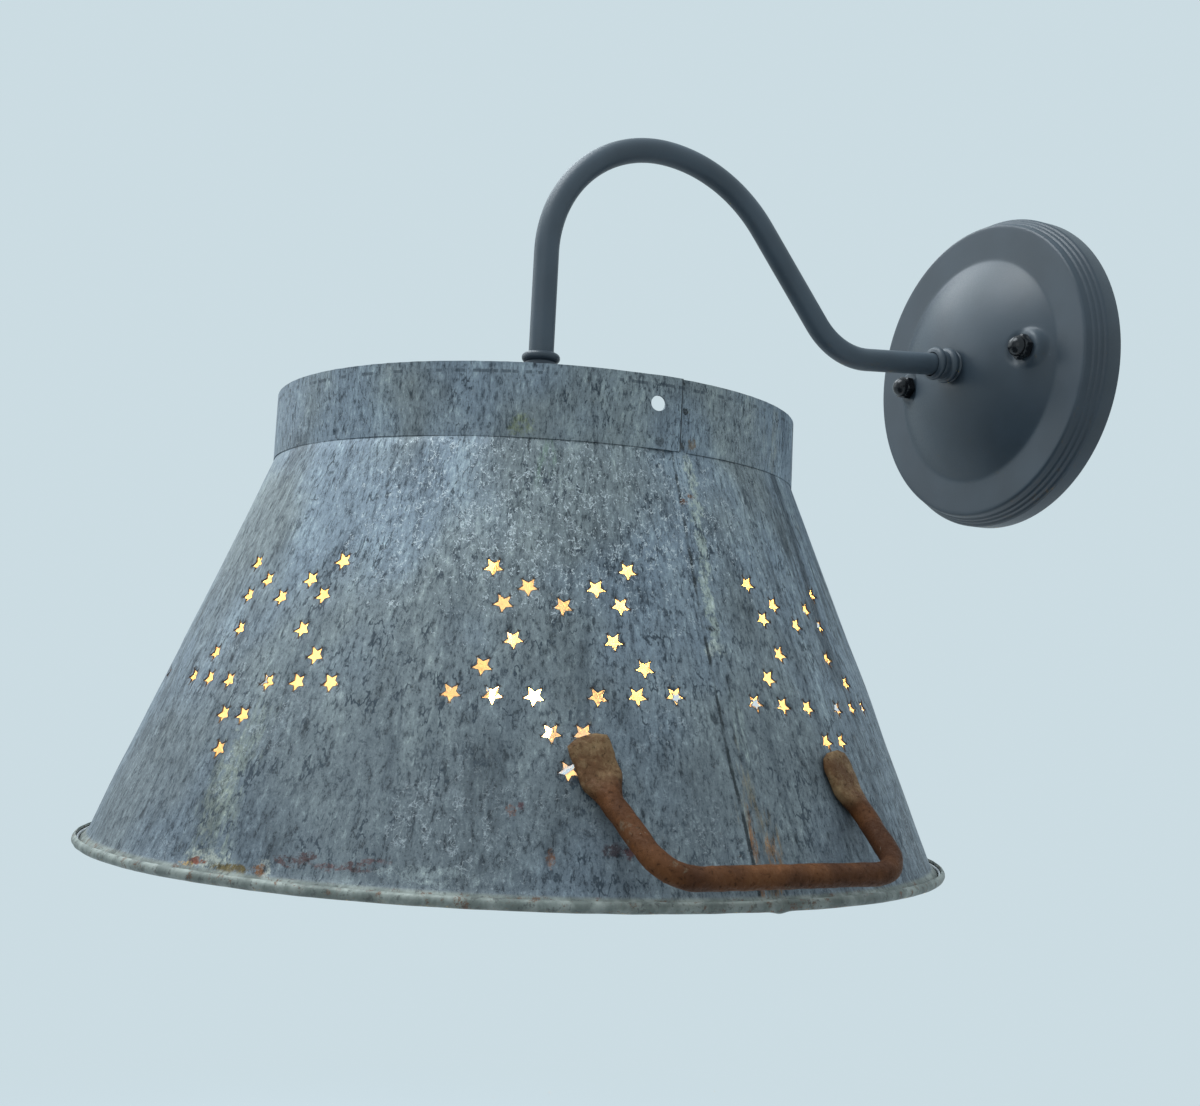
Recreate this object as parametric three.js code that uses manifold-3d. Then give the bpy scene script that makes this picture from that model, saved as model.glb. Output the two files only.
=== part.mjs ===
// Wall sconce with a gooseneck arm and a shade made from a galvanised wash tub turned upside down,
// punched with rings of small stars. Millimetres, +Z up. The wall is the plane y = 0, the origin is
// the middle of the wall plate's back, and the arm reaches towards -Y.
import * as THREE from "three";
import { mergeVertices } from "three/addons/utils/BufferGeometryUtils.js";
import Module from "manifold-3d";

const wasm = await Module();
wasm.setup();

// Driving dimensions: overall places
const reach = 230; // wall to the shade's axis
const shadeDrop = 73.7; // origin down to the underside of the shade's base
const archRise = 64.8; // origin up to the arm's centreline at the top of its arch

// Driving dimensions: clearances
const seatGap = 0.3; // between pieces that rest on or in each other

// Driving dimensions: shade
const sheet = 0.8; // thickness of the galvanised sheet
const coneHeight = 134.3;
const coneTopRadius = 95.7;
const coneRimRadius = 149.8; // the wall's outer face carried down to the middle of the rim
const neckHeight = 7; // the body's upturned edge inside the foot ring
const neckSetIn = 1; // from the cone's top edge in to the neck's outside
const rimBeadRadius = 1.7;
const rimOverhang = 4; // the rolled rim's outside past coneRimRadius
const rimFlareHeight = 5; // where the wall starts to turn into the roll
const rimCurlDegrees = 255;
const rimInnerDegrees = 175; // where the roll's inner face starts, just short of its outer face
const rimWireSides = 4;
const shadeSides = 45;
const bodySeamAngle = 5;
const bodySeamWidth = 6;
const bodySeamProud = 0.5;

// Driving dimensions: foot ring and base
const ringHeight = 24;
const ringSeamAngle = 3.7;
const ringHoleDiameter = 5;
const ringHoleAngle = -1.5;
const ringHoleHeight = 14.9;
const baseFlangeHeight = 6;

// Driving dimensions: star pattern, eight large stars each drawn with small punched stars
const starGroups = 8;
const starGroupAngle = 23.6; // middle of one large star, the rest follow round the shade
const groupOuterRadius = 34.8;
const groupInnerRadius = 15.7;
const groupSlant = 72.2; // the large star's middle, measured up the wall from the rim
const groupArmSag = 1.2; // the two side points were punched a little low
const groupDrifts = [0, 0.4, -0.6, 0.7, -0.3, -0.5, 0.5, 2]; // degrees round the shade, as hand-set
const groupTurns = [0, -0.7, 0.9, 0.5, -1.1, 0.6, 0, 1.9]; // degrees about each large star's middle
const starRadius = 3.15;
const starWaist = 0.48;
const starWobble = 5; // degrees that the hand-held punch turned, one way and the other
const punchTaperLength = 50;

// Driving dimensions: handles
const handleAngle = 3.4;
// Each palm's place from the handle's middle, its turn in the wall and where the bar ends beside it.
const nearPalm = { angle: -19.35, height: 36.7, turn: 18, barEnd: -39.7 };
const farPalm = { angle: 17.9, height: 34.1, turn: 8, barEnd: 41.9 };
const palmWidth = 14.5;
const palmLength = 16;
const palmThickness = 3;
const rodDiameter = 7;
const rodStandOff = 0.6; // clear of the wall where the rod leaves the palm
const barClearance = 10; // between the shade's wall and the bar
const barHeight = 9;
const barBendRadius = 12;
const handleRivetDiameter = 4;
const handleRivetHead = 8;
const handleRivetCrown = 2.2;

// Driving dimensions: arm
const armDiameter = 9.6;
const armBore = 6.8;
const armLean = 5.6; // degrees that the arm droops where it leaves the wall plate
const armSlope = 50.4;
const lowerBendRadius = 31;
const archWallSideRadius = 61.8;
const archShadeSideRadius = 50;
const armTail = 17; // length behind the ferrule's middle
const armSides = 10;

// Driving dimensions: wall plate
const plateRadius = 69.2;
const plateFrontRadius = 65.2;
const plateDepth = 16;
const plateSheet = 1;
const plateBand = 7.5; // plain band at the wall, before the stepped rings
const plateSteps = 3;
const plateCrease = 0.4; // depth of the crease at the foot of each stepped ring
const plateStepRise = 0.7;
const plateEdgeRound = 1.8; // where the side turns into the face
const domeRadius = 49.3;
const domeHeight = 14.1;
const domeSeatRadius = 9.6;
const nutSpacing = 75.6;
const nutTurn = 4; // degrees that the line through the two nuts is turned
const nutPocketRadius = 6.8;
const nutPocketSeat = 22.6; // wall to the flat seat of each nut
const plateSides = 32;

// Driving dimensions: ferrules, nuts and crossbar
const ferruleLength = 11.5;
const ferruleBeadRadius = 7.8;
const ferruleNoseRadius = 7.3;
const ferruleWaistRadius = 6.3;
const ferruleBeadDegrees = 60; // each bead's round, to either side of its crown
const capNutFlats = 9.5;
const capNutHex = 3.8;
const capNutDome = 4;
const capNutDomeDegrees = 84; // round of the dome, up to its small flat
const capNutDomeSteps = 3;
const capNutThread = 4.2; // depth of the blind hole in a cap nut
const studDiameter = 4.8;
const lockNutFlats = 15;
const lockNutThickness = 3.2;
const washerRadius = 9;
const washerThickness = 0.9;
const crossbarLength = 96;
const crossbarWidth = 16;
const crossbarThickness = 2;
const slotLength = 10;
const slotWidth = 4.6;
const slotMiddle = 24;
const groundScrewDiameter = 3.6;
const groundScrewPlace = 14.5;
const groundScrewHead = 2.1;

// Driving dimensions: wiring
const leadDiameter = 1.8;
const leadSpread = 1.5; // each lead's place beside the arm's centreline
const holderLeadDepth = 4; // how far each lead goes into the lamp holder
const wireNutLength = 18;
const wireNutMouth = 4.6;
const wireNutTip = 3;
const wireNutWall = 1.2;
const wireNutPlace = { x: 18, y: -10, z: 17 };

// Driving dimensions: lamp holder
const cupRadius = 29;
const cupShoulder = 24; // height of the cup's straight wall
const cupTop = 37.5;
const cupTopRadius = 11;
const cupSheet = 1;
const skirtRadius = 19.5;
const skirtLength = 26; // below the shade's base
const holderFlangeRadius = 23;
const holderFlangeThickness = 3;
const holderRadius = 17.5;
const holderTop = 25;
const cavityTop = -1; // roof of the holder's cavity, below the shade's base
const shellSheet = 0.4;
const shellEyeRadius = 6; // hole in the screw shell's end, round the centre contact
const holderContactRadius = 3.4;
const capRimHeight = 1.2;
const capHubHeight = 4;
const capHubRadius = 8.2;
const clampRingRadius = 27;
const clampRingThickness = 4;

// Driving dimensions: lamp, a clear bulb of the usual household shape with a looped filament
const bulbBaseRadius = 13.1;
const bulbBaseLength = 23.5;
const bulbContactDepth = 3.6; // below the shade's base
const bulbContactRadius = 3.6;
const insulatorRadius = 6.5;
const baseSkin = 0.5;
const baseShoulder = 1.5; // contact to the base's end
const baseBevel = 3;
const bulbRadius = 30;
const bulbLength = 109.5;
const bulbGlass = 0.8;
const bulbNeckRadius = 12.2;
const filamentDrop = 82.5; // contact to the middle of the loop
const filamentTurn = 62; // degrees about the lamp's axis, as the bulb is screwed home
const filamentHeight = 28;
const filamentWidth = 20;
const filamentWire = 1.2;
const stemRadius = 3.6;
const stemFlare = 6;

// Facets: sides of round pieces by their size
const largeSides = 32;
const mediumSides = 20;
const turnedSides = 14;
const smallSides = 8;
const pocketSides = 10;
const leadSides = 4;
const rodSides = 8;

// Places worked out from the driving dimensions
const radians = THREE.MathUtils.degToRad;
const wallTaper = Math.atan((coneRimRadius - coneTopRadius) / coneHeight);
const facetHalf = 180 / shadeSides;
const facetSag = coneRimRadius * (1 - Math.cos(radians(facetHalf))); // in at a facet's middle
const neckRadius = coneTopRadius - neckSetIn;
const rimRadius = coneRimRadius + rimOverhang;
const ringRadius = neckRadius + seatGap + sheet;
const baseRadius = neckRadius - sheet - seatGap;
const skirtHoleRadius = skirtRadius + seatGap;
const plateTop = plateDepth + domeHeight;
const ferruleMiddle = plateTop + seatGap + ferruleLength / 2;
const armRadius = armDiameter / 2;
const leanRun = ferruleLength / 2 + seatGap + plateSheet; // where the leaning arm is furthest off axis
const looseBore = armRadius + seatGap + leanRun * Math.tan(radians(armLean));
const closeBore = armRadius + seatGap;
const leadRadius = leadDiameter / 2;

const coneRadiusAt = (height) => coneRimRadius - height * Math.tan(wallTaper);
const barRadius = coneRadiusAt(barHeight) + barClearance + rodDiameter / 2;

// Materials
function metal(color, roughness, metalness) {
  return new THREE.MeshStandardMaterial({ color, roughness, metalness });
}
const galvanised = metal(0x77828c, 0.55, 0.75);
const darkPaint = metal(0x3b4248, 0.5, 0.2);
const blackNickel = metal(0x16181b, 0.2, 0.6);
const rustedIron = metal(0x6e4630, 0.85, 0.35);
const zincPlate = metal(0xb4b8ba, 0.4, 0.9);
const brass = metal(0xb58d45, 0.35, 0.9);
const phenolic = metal(0x1c1a19, 0.5, 0);
const liveInsulation = metal(0x1d1d1f, 0.6, 0);
const neutralInsulation = metal(0xe6e4dc, 0.6, 0);
const groundInsulation = metal(0x3b7a44, 0.6, 0);
const greenScrew = metal(0x2f8a46, 0.4, 0.7);
const wireNutPlastic = metal(0xc8702a, 0.55, 0);
const clearGlass = new THREE.MeshStandardMaterial({
  color: 0xf4f2ea,
  roughness: 0.05,
  metalness: 0,
  transparent: true,
  opacity: 0.35,
});
const filamentMetal = new THREE.MeshStandardMaterial({
  color: 0xffc072,
  roughness: 0.5,
  metalness: 0,
  emissive: 0xffa640,
});

// Closed solids, and the cuts, joins and common parts made from them
function asSolid(geometry) {
  const bare = geometry.index ? geometry.toNonIndexed() : geometry.clone();
  bare.deleteAttribute("normal");
  bare.deleteAttribute("uv");
  const merged = mergeVertices(bare, 1e-4);
  return new wasm.Manifold(
    new wasm.Mesh({
      numProp: 3,
      vertProperties: merged.attributes.position.array,
      triVerts: new Uint32Array(merged.index.array),
    }),
  );
}

function asGeometry(solid) {
  const mesh = solid.getMesh();
  const geometry = new THREE.BufferGeometry();
  geometry.setAttribute("position", new THREE.BufferAttribute(mesh.vertProperties, 3));
  geometry.setIndex(new THREE.BufferAttribute(mesh.triVerts, 1));
  const flat = geometry.toNonIndexed();
  flat.computeVertexNormals();
  return flat;
}

function cut(geometry, ...tools) {
  return asGeometry(tools.reduce((left, tool) => left.subtract(asSolid(tool)), asSolid(geometry)));
}

function join(geometry, ...others) {
  return asGeometry(others.reduce((sum, other) => sum.add(asSolid(other)), asSolid(geometry)));
}

function common(geometry, other) {
  return asGeometry(asSolid(geometry).intersect(asSolid(other)));
}

// A profile of [radius, height] points revolved about Z, with one facet's middle at facetAngle.
function revolve(profile, sides, facetAngle = 0) {
  const points = profile.map(([radius, height]) => new THREE.Vector2(radius, height));
  if (THREE.ShapeUtils.area(points) < 0) points.reverse();
  const onAxis = points.filter((point) => point.x === 0).length;
  if (onAxis < 2) points.push(points[0].clone());
  while (onAxis >= 2 && !(points[0].x === 0 && points[points.length - 1].x === 0)) {
    points.push(points.shift());
  }
  const start = radians(facetAngle + 90 + 180 / sides);
  return new THREE.LatheGeometry(points, sides, start, 2 * Math.PI).rotateX(Math.PI / 2);
}

// A disc or post along Z from one height to another.
function post(radius, low, high, sides = smallSides) {
  return new THREE.CylinderGeometry(radius, radius, high - low, sides)
    .rotateX(Math.PI / 2)
    .translate(0, 0, (low + high) / 2);
}

// Turns a shape built along +Z so that it stands out from the wall along -Y.
function outFromWall(geometry) {
  return geometry.rotateX(Math.PI / 2);
}

// Points of a round stretch of profile, about a middle, between two angles in degrees.
function arc(x, y, radius, from, to, steps) {
  return Array.from({ length: steps + 1 }, (_, i) => {
    const angle = radians(from + ((to - from) * i) / steps);
    return [x + radius * Math.cos(angle), y + radius * Math.sin(angle)];
  });
}

function circlePath(radius, sides) {
  return arc(0, 0, radius, 0, 360, sides)
    .slice(0, sides)
    .map(([x, y]) => new THREE.Vector2(x, y));
}

// A path given by its stations, each with its own direction, so that straight runs need no steps.
class StationPath extends THREE.Curve {
  constructor(stations) {
    super();
    this.stations = stations;
  }
  getUtoTmapping(u) {
    return u;
  }
  at(t) {
    return this.stations[Math.round(t * (this.stations.length - 1))];
  }
  getPoint(t) {
    return this.at(t).place.clone();
  }
  getTangent(t) {
    return this.at(t).direction.clone();
  }
}

function sweep(section, stations) {
  return new THREE.ExtrudeGeometry(section, {
    steps: stations.length - 1,
    extrudePath: new StationPath(stations),
  });
}

// Stations on a smooth curve through chosen points.
function curveStations(points, steps) {
  const curve = new THREE.CatmullRomCurve3(points, false, "centripetal");
  return Array.from({ length: steps + 1 }, (_, i) => ({
    place: curve.getPoint(i / steps),
    direction: curve.getTangent(i / steps),
  }));
}

// One closed skin over a row of rings that all have the same number of points.
function loft(rings) {
  const count = rings[0].length;
  const corners = [];
  const face = (a, b, c) => corners.push(a, b, c);
  for (let i = 0; i + 1 < rings.length; i++) {
    for (let j = 0; j < count; j++) {
      const next = (j + 1) % count;
      face(rings[i][j], rings[i + 1][next], rings[i][next]);
      face(rings[i][j], rings[i + 1][j], rings[i + 1][next]);
    }
  }
  const last = rings[rings.length - 1];
  for (let j = 1; j + 1 < count; j++) {
    face(rings[0][0], rings[0][j], rings[0][j + 1]);
    face(last[0], last[j + 1], last[j]);
  }
  return new THREE.BufferGeometry().setFromPoints(corners);
}

// The assembly
const sconce = new THREE.Group();
const shade = new THREE.Group();
shade.position.set(0, -reach, -shadeDrop);
sconce.add(shade);

function add(parent, name, geometry, material) {
  const mesh = new THREE.Mesh(geometry, material);
  mesh.name = name;
  parent.add(mesh);
  return mesh;
}

// Frame on the shade's wall: x runs round the shade, y up the wall, z straight out of it.
function onWall(angle, height, lift = 0) {
  const round = radians(angle);
  const out = new THREE.Vector3(Math.cos(round), Math.sin(round), 0);
  const up = new THREE.Vector3(0, 0, 1);
  const normal = out.clone().multiplyScalar(Math.cos(wallTaper)).addScaledVector(up, Math.sin(wallTaper));
  const slant = up.clone().multiplyScalar(Math.cos(wallTaper)).addScaledVector(out, -Math.sin(wallTaper));
  const side = new THREE.Vector3().crossVectors(slant, normal);
  const place = out.multiplyScalar(coneRadiusAt(height)).add(new THREE.Vector3(0, 0, height - coneHeight));
  place.addScaledVector(normal, lift);
  return new THREE.Matrix4().makeBasis(side, slant, normal).setPosition(place);
}

// Star pattern: the corners of one large star, with a hole at each corner and halfway between.
function groupCorners(turn) {
  return Array.from({ length: 10 }, (_, i) => {
    const outer = i % 2 === 0;
    const radius = outer ? groupOuterRadius : groupInnerRadius;
    const angle = radians(turn - 90 + 36 * i);
    const isSideArm = i === 2 || i === 8;
    return {
      across: radius * Math.cos(angle),
      up: radius * Math.sin(angle) - (isSideArm ? groupArmSag : 0),
    };
  });
}

function groupPlaces(turn) {
  const corners = groupCorners(turn);
  return corners.flatMap((corner, i) => {
    const next = corners[(i + 1) % corners.length];
    return [corner, { across: (corner.across + next.across) / 2, up: (corner.up + next.up) / 2 }];
  });
}

// One punch: a star that narrows to a far point, as a driven punch does, long enough to clear the wall.
function starPunch() {
  const face = Array.from({ length: 10 }, (_, i) => {
    const radius = i % 2 === 0 ? starRadius : starRadius * starWaist;
    const angle = radians(-90 + 36 * i);
    return new THREE.Vector3(radius * Math.cos(angle), radius * Math.sin(angle), 2 * sheet);
  });
  const tip = new THREE.Vector3(0, 0, -punchTaperLength);
  const middle = new THREE.Vector3(0, 0, 2 * sheet);
  const corners = face.flatMap((corner, i) => {
    const next = face[(i + 1) % face.length];
    return [middle, corner, next, corner, tip, next];
  });
  return new THREE.BufferGeometry().setFromPoints(corners);
}

function starPunches() {
  const punches = [];
  for (let group = 0; group < starGroups; group++) {
    const drift = groupDrifts[group % groupDrifts.length];
    const turn = groupTurns[group % groupTurns.length];
    const middle = starGroupAngle + (360 * group) / starGroups + drift;
    groupPlaces(turn).forEach((place, i) => {
      const height = (groupSlant + place.up) * Math.cos(wallTaper);
      const angle = middle + THREE.MathUtils.radToDeg(place.across / coneRadiusAt(height));
      const punch = starPunch().rotateZ(radians(starWobble * Math.sin(2.4 * i + 1.7 * group)));
      punches.push(punch.applyMatrix4(onWall(angle, height)));
    });
  }
  return punches;
}

// Shade body: one sheet from the upturned neck down the cone and round the wire in the rim.
function bodyProfile() {
  const beadX = rimRadius - rimBeadRadius;
  const beadZ = -coneHeight;
  const flareZ = rimFlareHeight - coneHeight;
  const flareRadius = coneRadiusAt(rimFlareHeight);
  const curlEnd = 180 + rimCurlDegrees;
  const outside = arc(beadX, beadZ, rimBeadRadius, 180, curlEnd, 4);
  const inside = arc(beadX, beadZ, rimBeadRadius - sheet, curlEnd, rimInnerDegrees, 4);
  return [
    [neckRadius - sheet, neckHeight],
    [neckRadius - sheet, 0],
    [flareRadius - sheet, flareZ],
    ...outside,
    ...inside,
    [flareRadius, flareZ],
    [coneTopRadius, 0],
    [neckRadius, 0],
    [neckRadius, neckHeight],
  ];
}

function bodySeam() {
  const low = rimFlareHeight;
  const length = (coneHeight - low) / Math.cos(wallTaper);
  const root = 0.75 * sheet; // let into the wall without coming through it
  const strip = new THREE.BoxGeometry(bodySeamWidth, length, bodySeamProud + root);
  strip.translate(0, length / 2, (bodySeamProud - root) / 2);
  strip.translate(0, 0, -facetSag);
  return strip.applyMatrix4(onWall(bodySeamAngle, low));
}

// Frame at the middle of a palm, turned in the wall so that -y runs down the palm towards its rod.
function onPalm({ angle, height, turn }) {
  return onWall(angle, height).multiply(new THREE.Matrix4().makeRotationZ(radians(turn)));
}

function handleRivetPunches() {
  const half = 5 * sheet;
  const radius = handleRivetDiameter / 2 + seatGap;
  return [handleAngle, handleAngle + 180].flatMap((middle) =>
    [nearPalm, farPalm].map((palm) =>
      post(radius, -half, half).applyMatrix4(onPalm(palm)).rotateZ(radians(middle)),
    ),
  );
}

function shadeBody() {
  const wall = join(revolve(bodyProfile(), shadeSides, bodySeamAngle), bodySeam());
  return cut(wall, ...starPunches(), ...handleRivetPunches());
}
add(shade, "shade_body", shadeBody(), galvanised);

// The wire that the rim is rolled round.
const rimWireRadius = rimBeadRadius - sheet - seatGap;
const rimWireTurn = 180 / rimWireSides;
const rimWireProfile = arc(
  rimRadius - rimBeadRadius,
  -coneHeight,
  rimWireRadius,
  rimWireTurn,
  360 - rimWireTurn,
  rimWireSides - 1,
);
add(shade, "rim_wire", revolve(rimWireProfile, shadeSides, bodySeamAngle), zincPlate);

// Foot ring: a band whose end laps over its start, so its outline steps in at the seam.
function footRing() {
  const inner = ringRadius - sheet;
  const step = sheet / 2;
  const outline = Array.from({ length: shadeSides + 1 }, (_, i) => {
    const angle = radians(ringSeamAngle + (360 * i) / shadeSides);
    const radius = ringRadius + (step * i) / shadeSides;
    return new THREE.Vector2(radius * Math.cos(angle), radius * Math.sin(angle));
  });
  const shape = new THREE.Shape(outline);
  const turn = radians(bodySeamAngle + facetHalf);
  const bore = circlePath(inner, shadeSides).map((point) => point.rotateAround(new THREE.Vector2(), turn));
  shape.holes.push(new THREE.Path(bore));
  const band = new THREE.ExtrudeGeometry(shape, { depth: ringHeight - seatGap, bevelEnabled: false });
  band.translate(0, 0, seatGap);
  const punch = post(ringHoleDiameter / 2, ringRadius - 4 * sheet, ringRadius + 4 * sheet)
    .rotateY(Math.PI / 2)
    .translate(0, 0, ringHoleHeight)
    .rotateZ(radians(ringHoleAngle));
  return cut(band, punch);
}
add(shade, "shade_foot_ring", footRing(), galvanised);

// Base: the tub's round bottom, with a flange that stands up inside the body's neck.
const baseProfile = [
  [skirtHoleRadius, 0],
  [baseRadius, 0],
  [baseRadius, baseFlangeHeight],
  [baseRadius - sheet, baseFlangeHeight],
  [baseRadius - sheet, sheet],
  [skirtHoleRadius, sheet],
];
add(shade, "shade_base", revolve(baseProfile, largeSides, bodySeamAngle), galvanised);

// Handles: round iron bar with two forged palms, bent out and down over the rim.
function roundedCorner(corner, before, after, radius, steps) {
  const back = before.clone().sub(corner).normalize();
  const on = after.clone().sub(corner).normalize();
  const half = back.angleTo(on) / 2;
  const trim = radius / Math.tan(half);
  const from = corner.clone().addScaledVector(back, trim);
  const inward = back.clone().add(on).normalize();
  const middle = corner.clone().addScaledVector(inward, radius / Math.sin(half));
  const axis = new THREE.Vector3().crossVectors(back, on).normalize();
  const turn = 2 * half - Math.PI;
  return Array.from({ length: steps + 1 }, (_, i) => {
    const swing = (turn * i) / steps;
    return {
      place: from.clone().sub(middle).applyAxisAngle(axis, swing).add(middle),
      direction: back.clone().negate().applyAxisAngle(axis, swing),
    };
  });
}

// Half of a handle, from the middle of a palm's free end to the middle of the bar.
function handleHalf(palm) {
  const frame = onPalm(palm);
  const inWall = (x, y, z) => new THREE.Vector3(x, y, z).applyMatrix4(frame);
  const normal = inWall(0, 0, 1).sub(inWall(0, 0, 0));
  const down = inWall(0, -1, 0).sub(inWall(0, 0, 0));
  const palmLift = seatGap + palmThickness / 2;
  const rodLift = seatGap + rodDiameter / 2 + rodStandOff;
  const barZ = barHeight - coneHeight;
  const corner = new THREE.Vector3(barRadius, palm.barEnd, barZ);
  const rodStart = inWall(0, -palmLength * 0.75, rodLift);
  const leg = corner.clone().sub(rodStart).normalize();
  const stations = [
    { place: inWall(0, palmLength * 0.5, palmLift), direction: down, wide: 0.34, thick: 0.8 },
    { place: inWall(0, palmLength * 0.38, palmLift), direction: down, wide: 0.8, thick: 1 },
    { place: inWall(0, palmLength * 0.12, palmLift), direction: down, wide: 1, thick: 1 },
    { place: inWall(0, -palmLength * 0.3, palmLift), direction: down, wide: 0.92, thick: 1 },
  ].map(({ place, direction, wide, thick }) => ({
    place,
    direction,
    halfWidth: (palmWidth / 2) * wide,
    halfThickness: (palmThickness / 2) * thick,
  }));
  const round = { halfWidth: rodDiameter / 2, halfThickness: rodDiameter / 2 };
  const bend = roundedCorner(corner, rodStart, corner.clone().setY(0), barBendRadius, 4);
  stations.push({ place: rodStart, direction: down.clone().add(leg).normalize(), ...round });
  bend.forEach((station) => stations.push({ ...station, ...round }));
  return { stations, normal };
}

function handleRing({ place, direction, halfWidth, halfThickness }, normal) {
  const across = new THREE.Vector3().crossVectors(direction, normal).normalize();
  const out = new THREE.Vector3().crossVectors(across, direction).normalize();
  return Array.from({ length: rodSides }, (_, i) => {
    const angle = (2 * Math.PI * (i + 0.5)) / rodSides;
    return place
      .clone()
      .addScaledVector(across, halfWidth * Math.cos(angle))
      .addScaledVector(out, halfThickness * Math.sin(angle));
  });
}

function handleGeometry() {
  const near = handleHalf(nearPalm);
  const far = handleHalf(farPalm);
  const outward = new THREE.Vector3(1, 0, 0);
  const ringsOf = (half, flip) =>
    half.stations.map((station, i) => {
      const direction = station.direction.clone().multiplyScalar(flip);
      const share = Math.min(1, Math.max(0, (i - 4) / 4));
      const reference = half.normal.clone().lerp(outward, share).normalize();
      return handleRing({ ...station, direction }, reference);
    });
  const rings = [...ringsOf(near, 1), ...ringsOf(far, -1).reverse()];
  const hole = post(handleRivetDiameter / 2 + seatGap, -palmThickness, 2 * palmThickness);
  const holes = [nearPalm, farPalm].map((palm) => hole.clone().applyMatrix4(onPalm(palm)));
  return cut(loft(rings), ...holes);
}

// Rivet: head against the inside of the wall, shank through it, peened flush in the palm.
function handleRivet() {
  const headTop = -sheet - facetSag - seatGap;
  const headRadius = handleRivetHead / 2;
  const shank = handleRivetDiameter / 2;
  return revolve(
    [
      [0, headTop - handleRivetCrown],
      [headRadius * 0.8, headTop - 0.7 * handleRivetCrown],
      [headRadius, headTop],
      [shank, headTop],
      [shank, palmThickness],
      [0, palmThickness],
    ],
    smallSides,
  );
}

const handleSides = [
  ["right", handleAngle],
  ["left", handleAngle + 180],
];
for (const [name, angle] of handleSides) {
  add(shade, `handle_${name}`, handleGeometry().rotateZ(radians(angle)), rustedIron);
  [nearPalm, farPalm].forEach((palm, i) => {
    const rivet = handleRivet().applyMatrix4(onPalm(palm)).rotateZ(radians(angle));
    add(shade, `handle_rivet_${name}_${i + 1}`, rivet, rustedIron);
  });
}

// Arm: one bent tube. Its stations are [distance from the wall, height] with a direction in degrees.
function armRoute() {
  const lean = radians(armLean);
  const slope = radians(armSlope);
  const fixedReach =
    ferruleMiddle +
    lowerBendRadius * (Math.sin(slope) + Math.sin(lean)) +
    archWallSideRadius * Math.sin(slope) +
    archShadeSideRadius;
  const fixedRise =
    lowerBendRadius * (Math.cos(lean) - Math.cos(slope)) + archWallSideRadius * (1 - Math.cos(slope));
  // Two straight runs take up what the bends leave of the reach and of the rise.
  const needReach = reach - fixedReach;
  const needRise = archRise - fixedRise;
  const span = Math.sin(slope + lean);
  const lowRun = (needReach * Math.sin(slope) - needRise * Math.cos(slope)) / span;
  const slopeRun = (needReach * Math.sin(lean) + needRise * Math.cos(lean)) / span;
  const route = [];
  let place = [ferruleMiddle - armTail * Math.cos(lean), armTail * Math.sin(lean)];
  let heading = -armLean;
  const note = () => route.push({ out: place[0], up: place[1], heading });
  const run = (length) => {
    const angle = radians(heading);
    place = [place[0] + length * Math.cos(angle), place[1] + length * Math.sin(angle)];
    note();
  };
  const bend = (radius, turn, steps) => {
    const side = Math.sign(turn);
    const middle = radians(heading + 90 * side);
    const centre = [place[0] + radius * Math.cos(middle), place[1] + radius * Math.sin(middle)];
    for (let i = 1; i <= steps; i++) {
      const angle = radians(heading + turn / steps - 90 * side);
      place = [centre[0] + radius * Math.cos(angle), centre[1] + radius * Math.sin(angle)];
      heading += turn / steps;
      note();
    }
  };
  note();
  run(armTail + lowRun);
  bend(lowerBendRadius, armLean + armSlope, 5);
  run(slopeRun);
  bend(archWallSideRadius, -armSlope, 5);
  bend(archShadeSideRadius, -90, 8);
  run(archRise - archShadeSideRadius + shadeDrop - armEndHeight);
  return route;
}

const capTop = holderTop + seatGap + capRimHeight;
const armEndHeight = capTop + seatGap; // above the shade's base
const route = armRoute();

function routeStations(sideways, from = 0) {
  return route.slice(from).map(({ out, up, heading }) => {
    const angle = radians(heading);
    return {
      place: new THREE.Vector3(sideways, -out, up),
      direction: new THREE.Vector3(0, -Math.cos(angle), Math.sin(angle)),
    };
  });
}

function armTube() {
  const section = new THREE.Shape(circlePath(armRadius, armSides));
  section.holes.push(new THREE.Path(circlePath(armBore / 2, armSides)));
  return sweep(section, routeStations(0));
}
add(sconce, "arm_tube", armTube(), darkPaint);

// Wall plate: pressed dish with stepped rings round its side and a dome in its middle.
const domeSphere = (domeRadius ** 2 + domeHeight ** 2) / (2 * domeHeight);
const domeDepthAt = (radius, drop = 0) =>
  plateDepth + domeHeight - domeSphere + Math.sqrt((domeSphere - drop) ** 2 - radius ** 2);

function domeArc(drop, from, to, steps) {
  return Array.from({ length: steps + 1 }, (_, i) => {
    const radius = from + ((to - from) * i) / steps;
    return [radius, domeDepthAt(radius, drop)];
  });
}

function plateSide() {
  const stepDepth = (plateDepth - plateBand) / (plateSteps + 1);
  const stepIn = (plateRadius - plateFrontRadius) / (plateSteps + 1);
  const points = [[plateRadius, 0]];
  for (let i = 0; i < plateSteps; i++) {
    const radius = plateRadius - stepIn * i - plateCrease;
    const depth = plateBand + stepDepth * i;
    points.push([radius, depth], [radius - stepIn + plateCrease / 4, depth + plateStepRise]);
  }
  const face = plateFrontRadius - 0.8 * plateEdgeRound;
  points.push([plateFrontRadius + plateEdgeRound / 3, plateDepth - plateEdgeRound], [face, plateDepth]);
  return points;
}

function plateProfile() {
  const seatDepth = domeDepthAt(domeSeatRadius);
  const inner = plateSheet;
  return [
    ...plateSide(),
    ...domeArc(0, domeRadius, domeSeatRadius, 4),
    [looseBore, seatDepth],
    [looseBore, seatDepth - inner],
    [domeSeatRadius, seatDepth - inner],
    ...domeArc(inner, domeSeatRadius + inner, domeRadius - 1.5 * inner, 2),
    [plateFrontRadius - 2.4 * inner, plateDepth - inner],
    [plateRadius - 2.6 * inner, plateBand],
    [plateRadius - inner, 0],
  ];
}

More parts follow.
